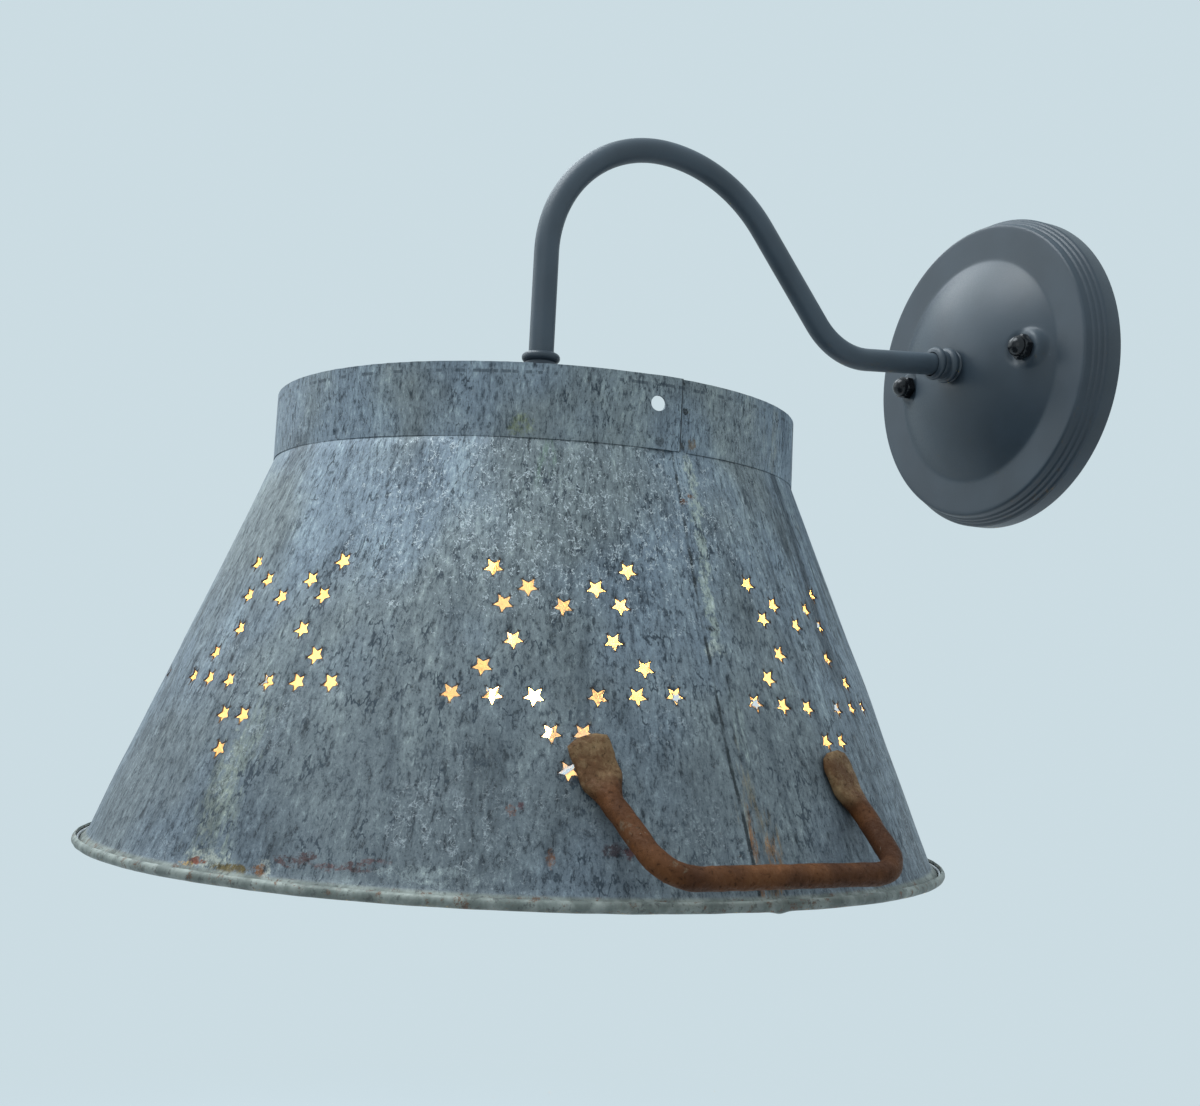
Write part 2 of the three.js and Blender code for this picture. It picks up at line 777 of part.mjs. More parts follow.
const nutPlaces = [-1, 1].map((side) => ({
  x: ((side * nutSpacing) / 2) * Math.cos(radians(nutTurn)),
  z: ((side * nutSpacing) / 2) * Math.sin(radians(nutTurn)),
}));

// A piece built along +Z, set beside a nut's axis and turned out from the wall.
function atNut(geometry, { x, z }) {
  return outFromWall(geometry).translate(x, 0, z);
}

function wallPlate() {
  let plate = outFromWall(revolve(plateProfile(), plateSides));
  const floor = plateDepth - 4 * plateSheet;
  const filledProfile = [[0, floor], [domeRadius, floor], ...domeArc(0, domeRadius, 0, 5)];
  const filled = outFromWall(revolve(filledProfile, plateSides));
  for (const place of nutPlaces) {
    const wallRadius = nutPocketRadius + plateSheet;
    const sleeve = atNut(post(wallRadius, nutPocketSeat - plateSheet, plateTop, pocketSides), place);
    const padRadius = wallRadius - plateSheet / 3;
    const pad = atNut(post(padRadius, nutPocketSeat - plateSheet, nutPocketSeat, pocketSides), place);
    const pocket = atNut(post(nutPocketRadius, nutPocketSeat, plateTop + 1, pocketSides), place);
    const hole = atNut(post(studDiameter / 2 + seatGap, 0, plateTop), place);
    plate = cut(join(plate, common(sleeve, filled), pad), pocket, hole);
  }
  return plate;
}
add(sconce, "wall_plate", wallPlate(), darkPaint);

// Ferrule: turned collar with a large bead, a waist and a smaller bead at its nose.
function ferrule(bore) {
  const bead = ferruleLength * 0.21;
  const nose = ferruleLength * 0.17;
  const round = ferruleBeadDegrees;
  const profile = [
    [bore, 0],
    [ferruleWaistRadius + 0.6, 0],
    ...arc(ferruleBeadRadius - bead * 0.9, bead * 1.25, bead, -round, round, 2),
    [ferruleWaistRadius, ferruleLength - 2.3 * nose],
    ...arc(ferruleNoseRadius - nose * 0.9, ferruleLength - nose, nose, -round, round, 2),
    [bore, ferruleLength],
  ];
  return revolve(profile, turnedSides);
}
const plateFerrule = outFromWall(ferrule(looseBore).translate(0, 0, domeDepthAt(domeSeatRadius) + seatGap));
add(sconce, "plate_ferrule", plateFerrule, darkPaint);
add(shade, "cup_ferrule", ferrule(closeBore).translate(0, 0, cupTop + seatGap), darkPaint);

// Nuts and washers on the arm's two threaded ends.
function hexPrism(flats, low, high) {
  return post(flats / Math.sqrt(3), low, high, 6);
}

function ringOf(outerGeometry, bore, low, high) {
  return cut(outerGeometry, post(bore, low - 1, high + 1, turnedSides));
}

const plateInside = domeDepthAt(domeSeatRadius) - plateSheet;
const washerLow = plateInside - seatGap - washerThickness;
const lockNutLow = washerLow - seatGap - lockNutThickness;
const armHeightAt = (out) => (ferruleMiddle - out) * Math.tan(radians(armLean));

function onArmTail(geometry, out) {
  return outFromWall(geometry).translate(0, 0, armHeightAt(out));
}
const washerHigh = washerLow + washerThickness;
const washerDisc = post(washerRadius, washerLow, washerHigh, turnedSides);
const washer = ringOf(washerDisc, looseBore, washerLow, washerHigh);
add(sconce, "plate_lock_washer", onArmTail(washer, washerLow), zincPlate);
const lockNutHigh = lockNutLow + lockNutThickness;
const lockNut = ringOf(hexPrism(lockNutFlats, lockNutLow, lockNutHigh), looseBore, lockNutLow, lockNutHigh);
add(sconce, "plate_lock_nut", onArmTail(lockNut, lockNutLow + lockNutThickness / 2), zincPlate);

// Crossbar against the wall box, with two studs for the cap nuts and a green ground screw.
function roundEndedPlate(length, width, thickness) {
  const shape = new THREE.Shape();
  const half = length / 2 - width / 2;
  shape.absarc(half, 0, width / 2, -Math.PI / 2, Math.PI / 2, false);
  shape.absarc(-half, 0, width / 2, Math.PI / 2, (3 * Math.PI) / 2, false);
  return new THREE.ExtrudeGeometry(shape, { depth: thickness, bevelEnabled: false, curveSegments: 3 });
}

function crossbar() {
  const through = 2 * crossbarThickness;
  const studs = [-1, 1].map((side) =>
    post(studDiameter / 2 + seatGap, -1, through).translate((side * nutSpacing) / 2, 0, 0),
  );
  const slots = [-1, 1].map((side) =>
    roundEndedPlate(slotLength, slotWidth, 2 * through).translate(side * slotMiddle, 0, -crossbarThickness),
  );
  const ground = post(groundScrewDiameter / 2 + seatGap, -1, through).translate(groundScrewPlace, 0, 0);
  const blank = roundEndedPlate(crossbarLength, crossbarWidth, crossbarThickness);
  const bar = cut(blank, ...studs, ...slots, ground);
  return outFromWall(bar).rotateY(-radians(nutTurn));
}
add(sconce, "crossbar", crossbar(), zincPlate);

function capNut() {
  const low = nutPocketSeat + seatGap;
  const high = low + capNutHex;
  const domeFoot = 0.925 * (capNutFlats / 2);
  const dome = revolve(
    [
      [0, low + capNutHex / 2],
      [domeFoot, low + capNutHex / 2],
      [domeFoot, high],
      ...Array.from({ length: capNutDomeSteps }, (_, i) => {
        const angle = radians((capNutDomeDegrees * (i + 1)) / capNutDomeSteps);
        return [domeFoot * Math.cos(angle), high + capNutDome * Math.sin(angle)];
      }),
      [0, high + capNutDome],
    ],
    pocketSides,
  );
  const thread = post(studDiameter / 2 + seatGap, low - 1, low + capNutThread);
  return cut(join(hexPrism(capNutFlats, low, high), dome), thread);
}

["left", "right"].forEach((name, i) => {
  const place = nutPlaces[i];
  const studEnd = nutPocketSeat + capNutThread;
  add(sconce, `plate_stud_${name}`, atNut(post(studDiameter / 2, seatGap, studEnd), place), zincPlate);
  add(sconce, `cap_nut_${name}`, atNut(capNut(), place), blackNickel);
});

function groundScrew() {
  const low = crossbarThickness + seatGap;
  const shank = groundScrewDiameter / 2;
  const head = groundScrewDiameter;
  const headLow = low + leadDiameter + seatGap;
  return revolve(
    [
      [0, seatGap],
      [shank, seatGap],
      [shank, headLow],
      [head, headLow],
      [head, headLow + 0.67 * groundScrewHead],
      [head * 0.8, headLow + groundScrewHead],
      [0, headLow + groundScrewHead],
    ],
    smallSides,
  );
}
const groundPlace = {
  x: groundScrewPlace * Math.cos(radians(nutTurn)),
  z: groundScrewPlace * Math.sin(radians(nutTurn)),
};
add(sconce, "ground_screw", atNut(groundScrew(), groundPlace), greenScrew);

// Leads: live and neutral run whole from the splices in the wall plate, through the arm, to the holder.
const leadSection = new THREE.Shape(circlePath(leadRadius, leadSides));

function lead(side) {
  const tail = new THREE.Vector3(side * leadSpread, -route[0].out, route[0].up);
  const { x, y, z } = wireNutPlace;
  const splice = curveStations(
    [
      new THREE.Vector3(side * (x + wireNutLength * 0.45), y, z),
      new THREE.Vector3(side * (x - 1.5), y, z),
      new THREE.Vector3(side * x * 0.55, y, z * 0.72),
      new THREE.Vector3(side * (leadSpread + 1.6), y - 1.5, z * 0.25),
      tail,
    ],
    8,
  ).slice(0, -1);
  const through = routeStations(side * leadSpread);
  through[through.length - 1].place.z -= armEndHeight - holderTop + holderLeadDepth - seatGap;
  return sweep(leadSection, [...splice, ...through]);
}
add(sconce, "live_lead", lead(-1), liveInsulation);
add(sconce, "neutral_lead", lead(1), neutralInsulation);

function wireNut(side) {
  const { x, y, z } = wireNutPlace;
  const bore = leadRadius + 2 * seatGap;
  const blind = wireNutLength * 0.45 + wireNutWall;
  const cone = revolve(
    [
      [bore, 0],
      [wireNutMouth, 0],
      [wireNutMouth, wireNutLength / 6],
      [wireNutTip, wireNutLength - 1],
      [wireNutTip - 1, wireNutLength],
      [0, wireNutLength],
      [0, blind],
      [bore, blind],
    ],
    smallSides,
  );
  return cone.rotateY((side * Math.PI) / 2).translate(side * x, y, z);
}
add(sconce, "wire_nut_live", wireNut(-1), wireNutPlastic);
add(sconce, "wire_nut_neutral", wireNut(1), wireNutPlastic);

function groundLead() {
  const out = crossbarThickness + seatGap + leadRadius;
  const { x } = groundPlace;
  const underShank = groundPlace.z - groundScrewDiameter / 2 - leadRadius - 1.5 * seatGap;
  const nutMiddle = lockNutLow + lockNutThickness / 2;
  const underNut = armHeightAt(lockNutLow) - lockNutFlats / Math.sqrt(3) - leadRadius - seatGap;
  const points = [
    new THREE.Vector3(x - 3, -out, underShank),
    new THREE.Vector3(x + 2, -out - 0.2, underShank),
    new THREE.Vector3(x + 5, -out - 4, underShank - 4),
    new THREE.Vector3(x - 2, -out - 10, underNut - 4.3),
    new THREE.Vector3(2.5, 3.1 - nutMiddle, underNut - 2.8),
    new THREE.Vector3(0, -nutMiddle, underNut),
  ];
  return sweep(leadSection, curveStations(points, 10));
}
add(sconce, "ground_lead", groundLead(), groundInsulation);

// Lamp holder: a cup stands on the shade's base and hides the holder, which a ring clamps from below.
function holderCup() {
  const low = sheet + seatGap;
  const crown = arc(0, 0, 1, 0, 90, 3);
  const outside = crown.map(([x, y]) => [
    cupTopRadius + (cupRadius - cupTopRadius) * x,
    cupShoulder + (cupTop - cupShoulder) * y,
  ]);
  const inside = crown.map(([x, y]) => [
    cupTopRadius + (cupRadius - cupSheet - cupTopRadius) * x,
    cupShoulder + (cupTop - cupSheet - cupShoulder) * y,
  ]);
  return revolve(
    [
      [cupRadius, low],
      ...outside,
      [closeBore, cupTop],
      [closeBore, cupTop - cupSheet],
      ...inside.reverse(),
      [cupRadius - cupSheet, low],
    ],
    mediumSides,
  );
}
add(shade, "holder_cup", holderCup(), darkPaint);

const cupNutHigh = cupTop - cupSheet - seatGap;
const cupNutLow = cupNutHigh - lockNutThickness;
const cupNut = ringOf(hexPrism(lockNutFlats, cupNutLow, cupNutHigh), closeBore, cupNutLow, cupNutHigh);
add(shade, "cup_lock_nut", cupNut, zincPlate);

// Holder cap: metal plate with a hub that the arm's end screws into.
const capLow = holderTop + seatGap;
const holderCapProfile = [
  [leadSpread + leadRadius + 2 * seatGap, capLow],
  [holderRadius, capLow],
  [holderRadius, capTop],
  [capHubRadius, capTop],
  [capHubRadius, capTop + capHubHeight],
  [closeBore, capTop + capHubHeight],
  [closeBore, capTop],
  [leadSpread + leadRadius + 2 * seatGap, capTop],
];
add(shade, "holder_cap", revolve(holderCapProfile, turnedSides), brass);

const shellRadius = bulbBaseRadius + seatGap + 0.1;
const cavityRadius = shellRadius + shellSheet + seatGap;

function lampHolder() {
  const flangeLow = sheet + seatGap;
  const body = revolve(
    [
      [0, cavityTop],
      [cavityRadius, cavityTop],
      [cavityRadius, -skirtLength],
      [skirtRadius, -skirtLength],
      [skirtRadius, flangeLow],
      [holderFlangeRadius, flangeLow],
      [holderFlangeRadius, flangeLow + holderFlangeThickness],
      [holderRadius, flangeLow + holderFlangeThickness],
      [holderRadius, holderTop],
      [0, holderTop],
    ],
    mediumSides,
  );
  const holeLow = holderTop - holderLeadDepth;
  const leadHoles = [-1, 1].map((side) =>
    post(leadRadius + seatGap, holeLow, holderTop + 1).translate(side * leadSpread, 0, 0),
  );
  return cut(body, ...leadHoles);
}
add(shade, "lamp_holder", lampHolder(), phenolic);

const shellTop = cavityTop - seatGap;
const screwShellProfile = [
  [shellRadius, shellSheet - skirtLength],
  [shellRadius + shellSheet, shellSheet - skirtLength],
  [shellRadius + shellSheet, shellTop],
  [shellEyeRadius, shellTop],
  [shellEyeRadius, shellTop - shellSheet],
  [shellRadius, shellTop - shellSheet],
];
add(shade, "holder_screw_shell", revolve(screwShellProfile, turnedSides), brass);

const contactLow = -bulbContactDepth + seatGap;
add(shade, "holder_contact", post(holderContactRadius, contactLow, shellTop), brass);

const clampProfile = [
  [skirtRadius + seatGap, -seatGap],
  [clampRingRadius, -seatGap],
  [clampRingRadius, -seatGap - clampRingThickness * 0.6],
  [clampRingRadius - clampRingThickness / 2, -seatGap - clampRingThickness],
  [skirtRadius + seatGap, -seatGap - clampRingThickness],
];
add(shade, "holder_clamp_ring", revolve(clampProfile, mediumSides), phenolic);

// Lamp: brass base, glass, stem and looped filament hang from the holder and come down together.
const lamp = new THREE.Group();
lamp.position.z = -bulbContactDepth;
shade.add(lamp);

const insulatorBore = bulbContactRadius + 2 * seatGap;
const insulatorSeat = insulatorRadius + seatGap;
const endOutside = insulatorSeat + 0.9 * baseSkin + 1.35;
const bulbBaseProfile = [
  [bulbBaseRadius, -bulbBaseLength - 2],
  [bulbBaseRadius, -baseShoulder - baseBevel],
  [endOutside, -baseShoulder],
  [insulatorSeat, -baseShoulder],
  [insulatorSeat, -baseShoulder - baseSkin],
  [endOutside - 0.8 * baseSkin, -baseShoulder - baseSkin],
  [bulbBaseRadius - baseSkin, -baseShoulder - baseBevel - 0.8 * baseSkin],
  [bulbBaseRadius - baseSkin, -bulbBaseLength - 2],
];
add(lamp, "bulb_base", revolve(bulbBaseProfile, turnedSides), brass);

const insulatorLow = -baseShoulder - baseBevel / 2;
const insulatorProfile = [
  [insulatorBore, insulatorLow],
  [insulatorRadius, insulatorLow],
  [insulatorRadius, -0.5],
  [insulatorRadius - 1.1, -0.2],
  [insulatorBore, -0.2],
];
add(lamp, "bulb_insulator", revolve(insulatorProfile, smallSides), phenolic);
add(lamp, "bulb_contact", post(bulbContactRadius, insulatorLow, 0), zincPlate);

// The glass: a short neck in the base swells through a smooth shoulder to a round end.
function bulbOutline(skin) {
  const swell = [
    [bulbNeckRadius, 0.2],
    [bulbNeckRadius, (bulbBaseLength + 2.4) / bulbLength],
    [0.48 * bulbRadius, 0.3],
    [0.68 * bulbRadius, 0.41],
    [0.9 * bulbRadius, 0.54],
    [bulbRadius, 0.7],
    [0.93 * bulbRadius, 0.82],
    [0.7 * bulbRadius, 0.93],
    [0.36 * bulbRadius, 0.985],
    [0, 1],
  ];
  return swell.map(([radius, share]) => {
    const lift = share > 0.6 ? skin : 0;
    return [Math.max(0, radius - skin), lift - bulbLength * share];
  });
}
const glassInside = bulbOutline(bulbGlass).filter((point, i) => i % 2 === 0);
const glassProfile = [...bulbOutline(0), ...glassInside.reverse()];
add(lamp, "bulb_glass", revolve(glassProfile, turnedSides), clearGlass);

const stemTop = -bulbLength * 0.2;
const stemLow = -filamentDrop + filamentHeight / 2 + 2;
const stemProfile = [
  [0, stemTop],
  [bulbNeckRadius - bulbGlass - seatGap, stemTop],
  [bulbNeckRadius - bulbGlass - seatGap, stemTop - stemFlare / 4],
  [1.25 * stemRadius, stemTop - stemFlare],
  [stemRadius, stemLow + stemFlare],
  [stemRadius, stemLow],
  [0, stemLow],
];
add(lamp, "bulb_stem", revolve(stemProfile, smallSides), clearGlass);

function filament() {
  const rootHeight = stemLow - 2 * seatGap;
  const root = 0.67 * stemRadius;
  const points = [new THREE.Vector3(-root, 0, rootHeight)];
  const loopSteps = 8;
  for (let i = 0; i <= loopSteps; i++) {
    const angle = radians(140 + (260 * i) / loopSteps);
    points.push(
      new THREE.Vector3(
        (filamentWidth / 2) * Math.cos(angle),
        0,
        -filamentDrop + (filamentHeight / 2) * Math.sin(angle),
      ),
    );
  }
  points.push(new THREE.Vector3(root, 0, rootHeight));
  const wire = new THREE.Shape(circlePath(filamentWire / 2, leadSides));
  return sweep(wire, curveStations(points, 18)).rotateZ(radians(filamentTurn));
}
add(lamp, "bulb_filament", filament(), filamentMetal);

export default sconce;
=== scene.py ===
import bisect
import math

import bmesh
import bpy
from mathutils import Matrix, Vector, noise
from mathutils.geometry import delaunay_2d_cdt
from mathutils.kdtree import KDTree

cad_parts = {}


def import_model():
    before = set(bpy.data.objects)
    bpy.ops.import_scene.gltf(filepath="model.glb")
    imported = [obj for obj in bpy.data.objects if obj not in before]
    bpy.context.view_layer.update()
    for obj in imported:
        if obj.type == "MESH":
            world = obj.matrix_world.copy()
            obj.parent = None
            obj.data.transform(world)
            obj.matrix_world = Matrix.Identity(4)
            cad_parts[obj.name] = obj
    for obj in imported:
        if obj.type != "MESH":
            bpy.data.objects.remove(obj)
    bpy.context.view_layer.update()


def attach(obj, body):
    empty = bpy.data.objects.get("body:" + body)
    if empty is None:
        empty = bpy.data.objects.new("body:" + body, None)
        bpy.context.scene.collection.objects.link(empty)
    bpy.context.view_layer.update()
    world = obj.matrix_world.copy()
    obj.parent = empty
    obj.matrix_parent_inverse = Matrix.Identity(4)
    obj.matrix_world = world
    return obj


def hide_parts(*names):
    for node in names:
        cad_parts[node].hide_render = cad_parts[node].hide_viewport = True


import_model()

# Shapes are drawn in millimetres in the row frame and scaled when the mesh is made.
MM = 0.001
TINY, WELD, NEARLY_STRAIGHT = 1e-6, 2e-6, 168
REACH = 230.0
SHADE_DROP = 73.7
SHADE = Vector((0, -REACH, -SHADE_DROP))
GAP = 0.3
SHEET = 0.8
CONE_HEIGHT, CONE_TOP, CONE_RIM = 134.3, 95.7, 149.8
TAPER = math.atan((CONE_RIM - CONE_TOP) / CONE_HEIGHT)
NECK_RADIUS = CONE_TOP - 1
RING_HEIGHT = 24.0
RING_SEAM, LAP = 3.7, 3.2
HANDLE_ANGLE = 3.4
# Each palm's angle from the handle's middle, its height, its turn in the wall and its end of the bar.
PALMS = ((-19.35, 36.7, 18.0, -39.7), (17.9, 34.1, 8.0, 41.9))
BAR_RADIUS, BAR_HEIGHT = 159.67, 9.0
ARM_RADIUS, ARM_BORE = 4.8, 3.4
ARM_LEAN = 5.6


def rad(degrees):
    return degrees * math.pi / 180


def about_z(degrees):
    return Matrix.Rotation(rad(degrees), 3, "Z")


def wall_radius(height):
    return CONE_RIM - height * math.tan(TAPER)


# Mesh helpers
def piece(name, nodes, shape, coat, place=None, crease=32, marks=None, body="sconce"):
    """A finished mesh in its material, which rides a body and takes the place of nodes."""
    points, faces = shape
    slot, material = coat
    mesh = bpy.data.meshes.new(name)
    put = [Vector(p) if place is None else place(Vector(p)) for p in points]
    mesh.from_pydata([tuple(p * MM) for p in put], [], faces)
    bm = bmesh.new()
    bm.from_mesh(mesh)
    for mark, values in (marks or {}).items():
        layer = bm.verts.layers.float.new(mark)
        for vert, value in zip(bm.verts, values):
            vert[layer] = value
    bmesh.ops.remove_doubles(bm, verts=bm.verts, dist=WELD)
    bmesh.ops.recalc_face_normals(bm, faces=bm.faces)
    bm.to_mesh(mesh)
    bm.free()
    mesh.validate()
    mesh.shade_smooth()
    mesh.set_sharp_from_angle(angle=rad(crease))
    mesh.materials.append(material)
    obj = bpy.data.objects.new(name, mesh)
    bpy.context.scene.collection.objects.link(obj)
    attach(obj, body)
    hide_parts(*nodes)


def on_shade(p):
    return p + SHADE


def out_from_wall(p):
    return Vector((p.x, -p.z, p.y))


def turns_of(count, offset=0.0):
    return [2 * math.pi * (i + offset) / count for i in range(count)]


def band(low, high):
    """The faces between two rings of points, of which one may be a single point."""
    faces = []
    if len(low) + len(high) > 2:
        for i in range(max(len(low), len(high))):
            corners = [ring[k % len(ring)] for ring, k in ((low, i), (low, i + 1), (high, i + 1), (high, i))]
            faces.append(tuple(dict.fromkeys(corners)))
    return faces


def lathe(profile, sides, shape=None, closed=True):
    """A profile of (radius, height) turned about Z; shape may change each radius by angle."""
    points, rings, faces = [], [], []
    for radius, height in profile:
        if radius < TINY:
            rings.append([len(points)])
            points.append((0, 0, height))
            continue
        rings.append(list(range(len(points), len(points) + sides)))
        for a in turns_of(sides):
            r = shape(radius, height, a) if shape else radius
            points.append((r * math.cos(a), r * math.sin(a), height))
    for low, high in zip(rings, rings[1:] + (rings[:1] if closed else [])):
        faces += band(low, high)
    return points, faces


def swing(first, last, share):
    """A share of the turn from one spoke to another of the same length."""
    angle = first.angle(last)
    if angle < TINY:
        return first.copy()
    return (first * math.sin((1 - share) * angle) + last * math.sin(share * angle)) / math.sin(angle)


def rounded(profile, radius, steps=3, closed=True):
    """The same profile with its corners rounded, apart from those on the axis and an open one's ends."""
    result = []
    count = len(profile)
    for i, (x, y) in enumerate(profile):
        here = Vector((x, y))
        back = Vector(profile[i - 1]) - here
        on = Vector(profile[(i + 1) % count]) - here
        at_end = not closed and i in (0, count - 1)
        if at_end or min(x, back.length, on.length) < TINY or back.angle(on) > rad(NEARLY_STRAIGHT):
            result.append((x, y))
            continue
        half = back.angle(on) / 2
        trim = min(radius / math.tan(half), 0.45 * back.length, 0.45 * on.length)
        r = trim * math.tan(half)
        middle = here + (back.normalized() + on.normalized()).normalized() * (r / math.sin(half))
        first = here + back.normalized() * trim - middle
        last = here + on.normalized() * trim - middle
        result += [tuple(middle + swing(first, last, k / steps)) for k in range(steps + 1)]
    return result


def turned(outline, soft, sides, shape=None):
    """A closed outline with softened corners, turned about Z."""
    return lathe(rounded(outline, soft), sides, shape)


def arc(x, y, radius, start, end, steps):
    turn = [rad(start + (end - start) * i / steps) for i in range(steps + 1)]
    return [(x + radius * math.cos(a), y + radius * math.sin(a)) for a in turn]


def circle(radius, sides, x=0.0, y=0.0):
    return [(x + radius * math.cos(a), y + radius * math.sin(a)) for a in turns_of(sides)]


def frames(path, out=None):
    """The direction and the carried out side at each point of a path."""
    last = len(path) - 1
    for i in range(last + 1):
        along = (path[min(i + 1, last)] - path[max(i - 1, 0)]).normalized()
        if out is None:
            out = along.orthogonal()
        out = (out - along * out.dot(along)).normalized()
        yield along, out


def sweep(path, section, closed_ends=True, out=None):
    """Rings of section(i) points (across, out) set square to the path, the first with a chosen out side."""
    points, faces, rings = [], [], []
    for i, (along, side) in enumerate(frames(path, out)):
        across = along.cross(side)
        ring = [path[i] + across * a + side * b for a, b in section(i)]
        rings.append(list(range(len(points), len(points) + len(ring))))
        points += ring
    for low, high in zip(rings, rings[1:]):
        faces += band(low, high)
    if closed_ends:
        faces += [tuple(reversed(rings[0])), tuple(rings[-1])]
    return points, faces, rings


def together(*shapes):
    points, faces = [], []
    for more_points, more_faces in shapes:
        shift = len(points)
        points += [Vector(p) for p in more_points]
        faces += [tuple(i + shift for i in f) for f in more_faces]
    return points, faces


def tube(path, radius, sides, bore=0.0):
    points, faces, rings = sweep(path, lambda i: circle(radius, sides), bore == 0)
    if bore:
        shift = len(points)
        inner_points, inner_faces, _ = sweep(path, lambda i: circle(bore, sides), False)
        points, faces = together((points, faces), (inner_points, [f[::-1] for f in inner_faces]))
        for ring in (rings[0], rings[-1]):
            faces += band(ring, [i + shift for i in ring])
    return points, faces


def moved(shape, change):
    return [change(Vector(p)) for p in shape[0]], shape[1]


def curve_through(points, steps):
    """A smooth centripetal curve through the points, at even steps."""
    ends = [points[0] * 2 - points[1]] + points + [points[-1] * 2 - points[-2]]
    line = []
    for a, b, c, d in zip(ends, ends[1:], ends[2:], ends[3:]):
        t1 = (b - a).length ** 0.5
        t2 = t1 + (c - b).length ** 0.5
        t3 = t2 + (d - c).length ** 0.5
        for k in range(steps):
            t = t1 + (t2 - t1) * k / steps
            ab = a * ((t1 - t) / t1) + b * (t / t1)
            bc = b * ((t2 - t) / (t2 - t1)) + c * ((t - t1) / (t2 - t1))
            cd = c * ((t3 - t) / (t3 - t2)) + d * ((t - t2) / (t3 - t2))
            abc = ab * ((t2 - t) / t2) + bc * (t / t2)
            bcd = bc * ((t3 - t) / (t3 - t1)) + cd * ((t - t1) / (t3 - t1))
            line.append(abc * ((t2 - t) / (t2 - t1)) + bcd * ((t - t1) / (t2 - t1)))
    return line + [points[-1]]


def filled(flat, holes):
    """Triangles over flat points, with the holes (rings of points) left open."""
    coords = [Vector(p) for p in flat]
    loops = []
    for ring in holes:
        loops.append(list(range(len(coords), len(coords) + len(ring))))
        coords += [Vector(p) for p in ring]
    up_to_hull = 0
    points, _, faces, _, _, origins = delaunay_2d_cdt(coords, [], loops, up_to_hull, 1e-5, True)
    return points, [f for f, origin in zip(faces, origins) if not origin]


def two_sided(flat, faces, skin, open_from=math.inf):
    """The faces drawn at skin(1, u, v) and at skin(-1, u, v), joined round edges nearer than open_from."""
    points = [skin(side, *p) for side in (1, -1) for p in flat]
    count = len(flat)
    uses = {}
    for f in faces:
        for a, b in zip(f, f[1:] + f[:1]):
            uses.setdefault((min(a, b), max(a, b)), []).append((a, b))
    sheet = [tuple(f) for f in faces] + [tuple(i + count for i in reversed(f)) for f in faces]
    for found in uses.values():
        if len(found) == 1:
            a, b = found[0]
            if min(Vector(flat[a]).length, Vector(flat[b]).length) < open_from:
                sheet.append((b, a, a + count, b + count))
    return points, sheet


# Material helpers
class Nodes:
    """A node tree under construction: each call adds a node and gives its output."""

    def __init__(self, tree):
        self.tree = tree

    def node(self, kind, inputs=None, **settings):
        made = self.tree.nodes.new(kind)
        for key, value in settings.items():
            setattr(made, key, value)
        for key, value in (inputs or {}).items():
            self.feed(made.inputs[key], value)
        return made

    def feed(self, socket, value):
        if isinstance(value, bpy.types.NodeSocket):
            self.tree.links.new(value, socket)
        elif socket.type == "RGBA" and not isinstance(value, (int, float)):
            socket.default_value = (*value, 1) if len(value) == 3 else value
        else:
            socket.default_value = value

    def step(self, value, low, high, start=0.0, end=1.0):
        return self.node("ShaderNodeMapRange", {
            "Value": value, "From Min": low, "From Max": high, "To Min": start, "To Max": end,
        }, interpolation_type="SMOOTHSTEP").outputs["Result"]

    def math(self, operation, a, b=0.0):
        return self.node("ShaderNodeMath", {0: a, 1: b}, operation=operation).outputs[0]

    def times(self, a, b):
        return self.math("MULTIPLY", a, b)

    def vector(self, operation, a, b=(0, 0, 0)):
        return self.node("ShaderNodeVectorMath", {0: a, 1: b}, operation=operation).outputs[0]

    def size(self, vector):
        return self.node("ShaderNodeVectorMath", {0: vector}, operation="LENGTH").outputs["Value"]

    def split(self, value):
        return self.node("ShaderNodeSeparateXYZ", {"Vector": value}).outputs

    def seen(self):
        """1 on the rays that see the backdrop: straight, mirrored or through glass."""
        ray = self.node("ShaderNodeLightPath").outputs
        seen = self.math("MAXIMUM", ray["Is Camera Ray"], ray["Is Glossy Ray"])
        return self.math("MAXIMUM", seen, ray["Is Transmission Ray"])

    def blend(self, share, first, second, end):
        """Two shaders, blended by the share of the second, led to the tree's end."""
        made = self.node("ShaderNodeMixShader", {0: share, 1: first, 2: second})
        self.feed(self.tree.nodes[end].inputs["Surface"], made.outputs[0])


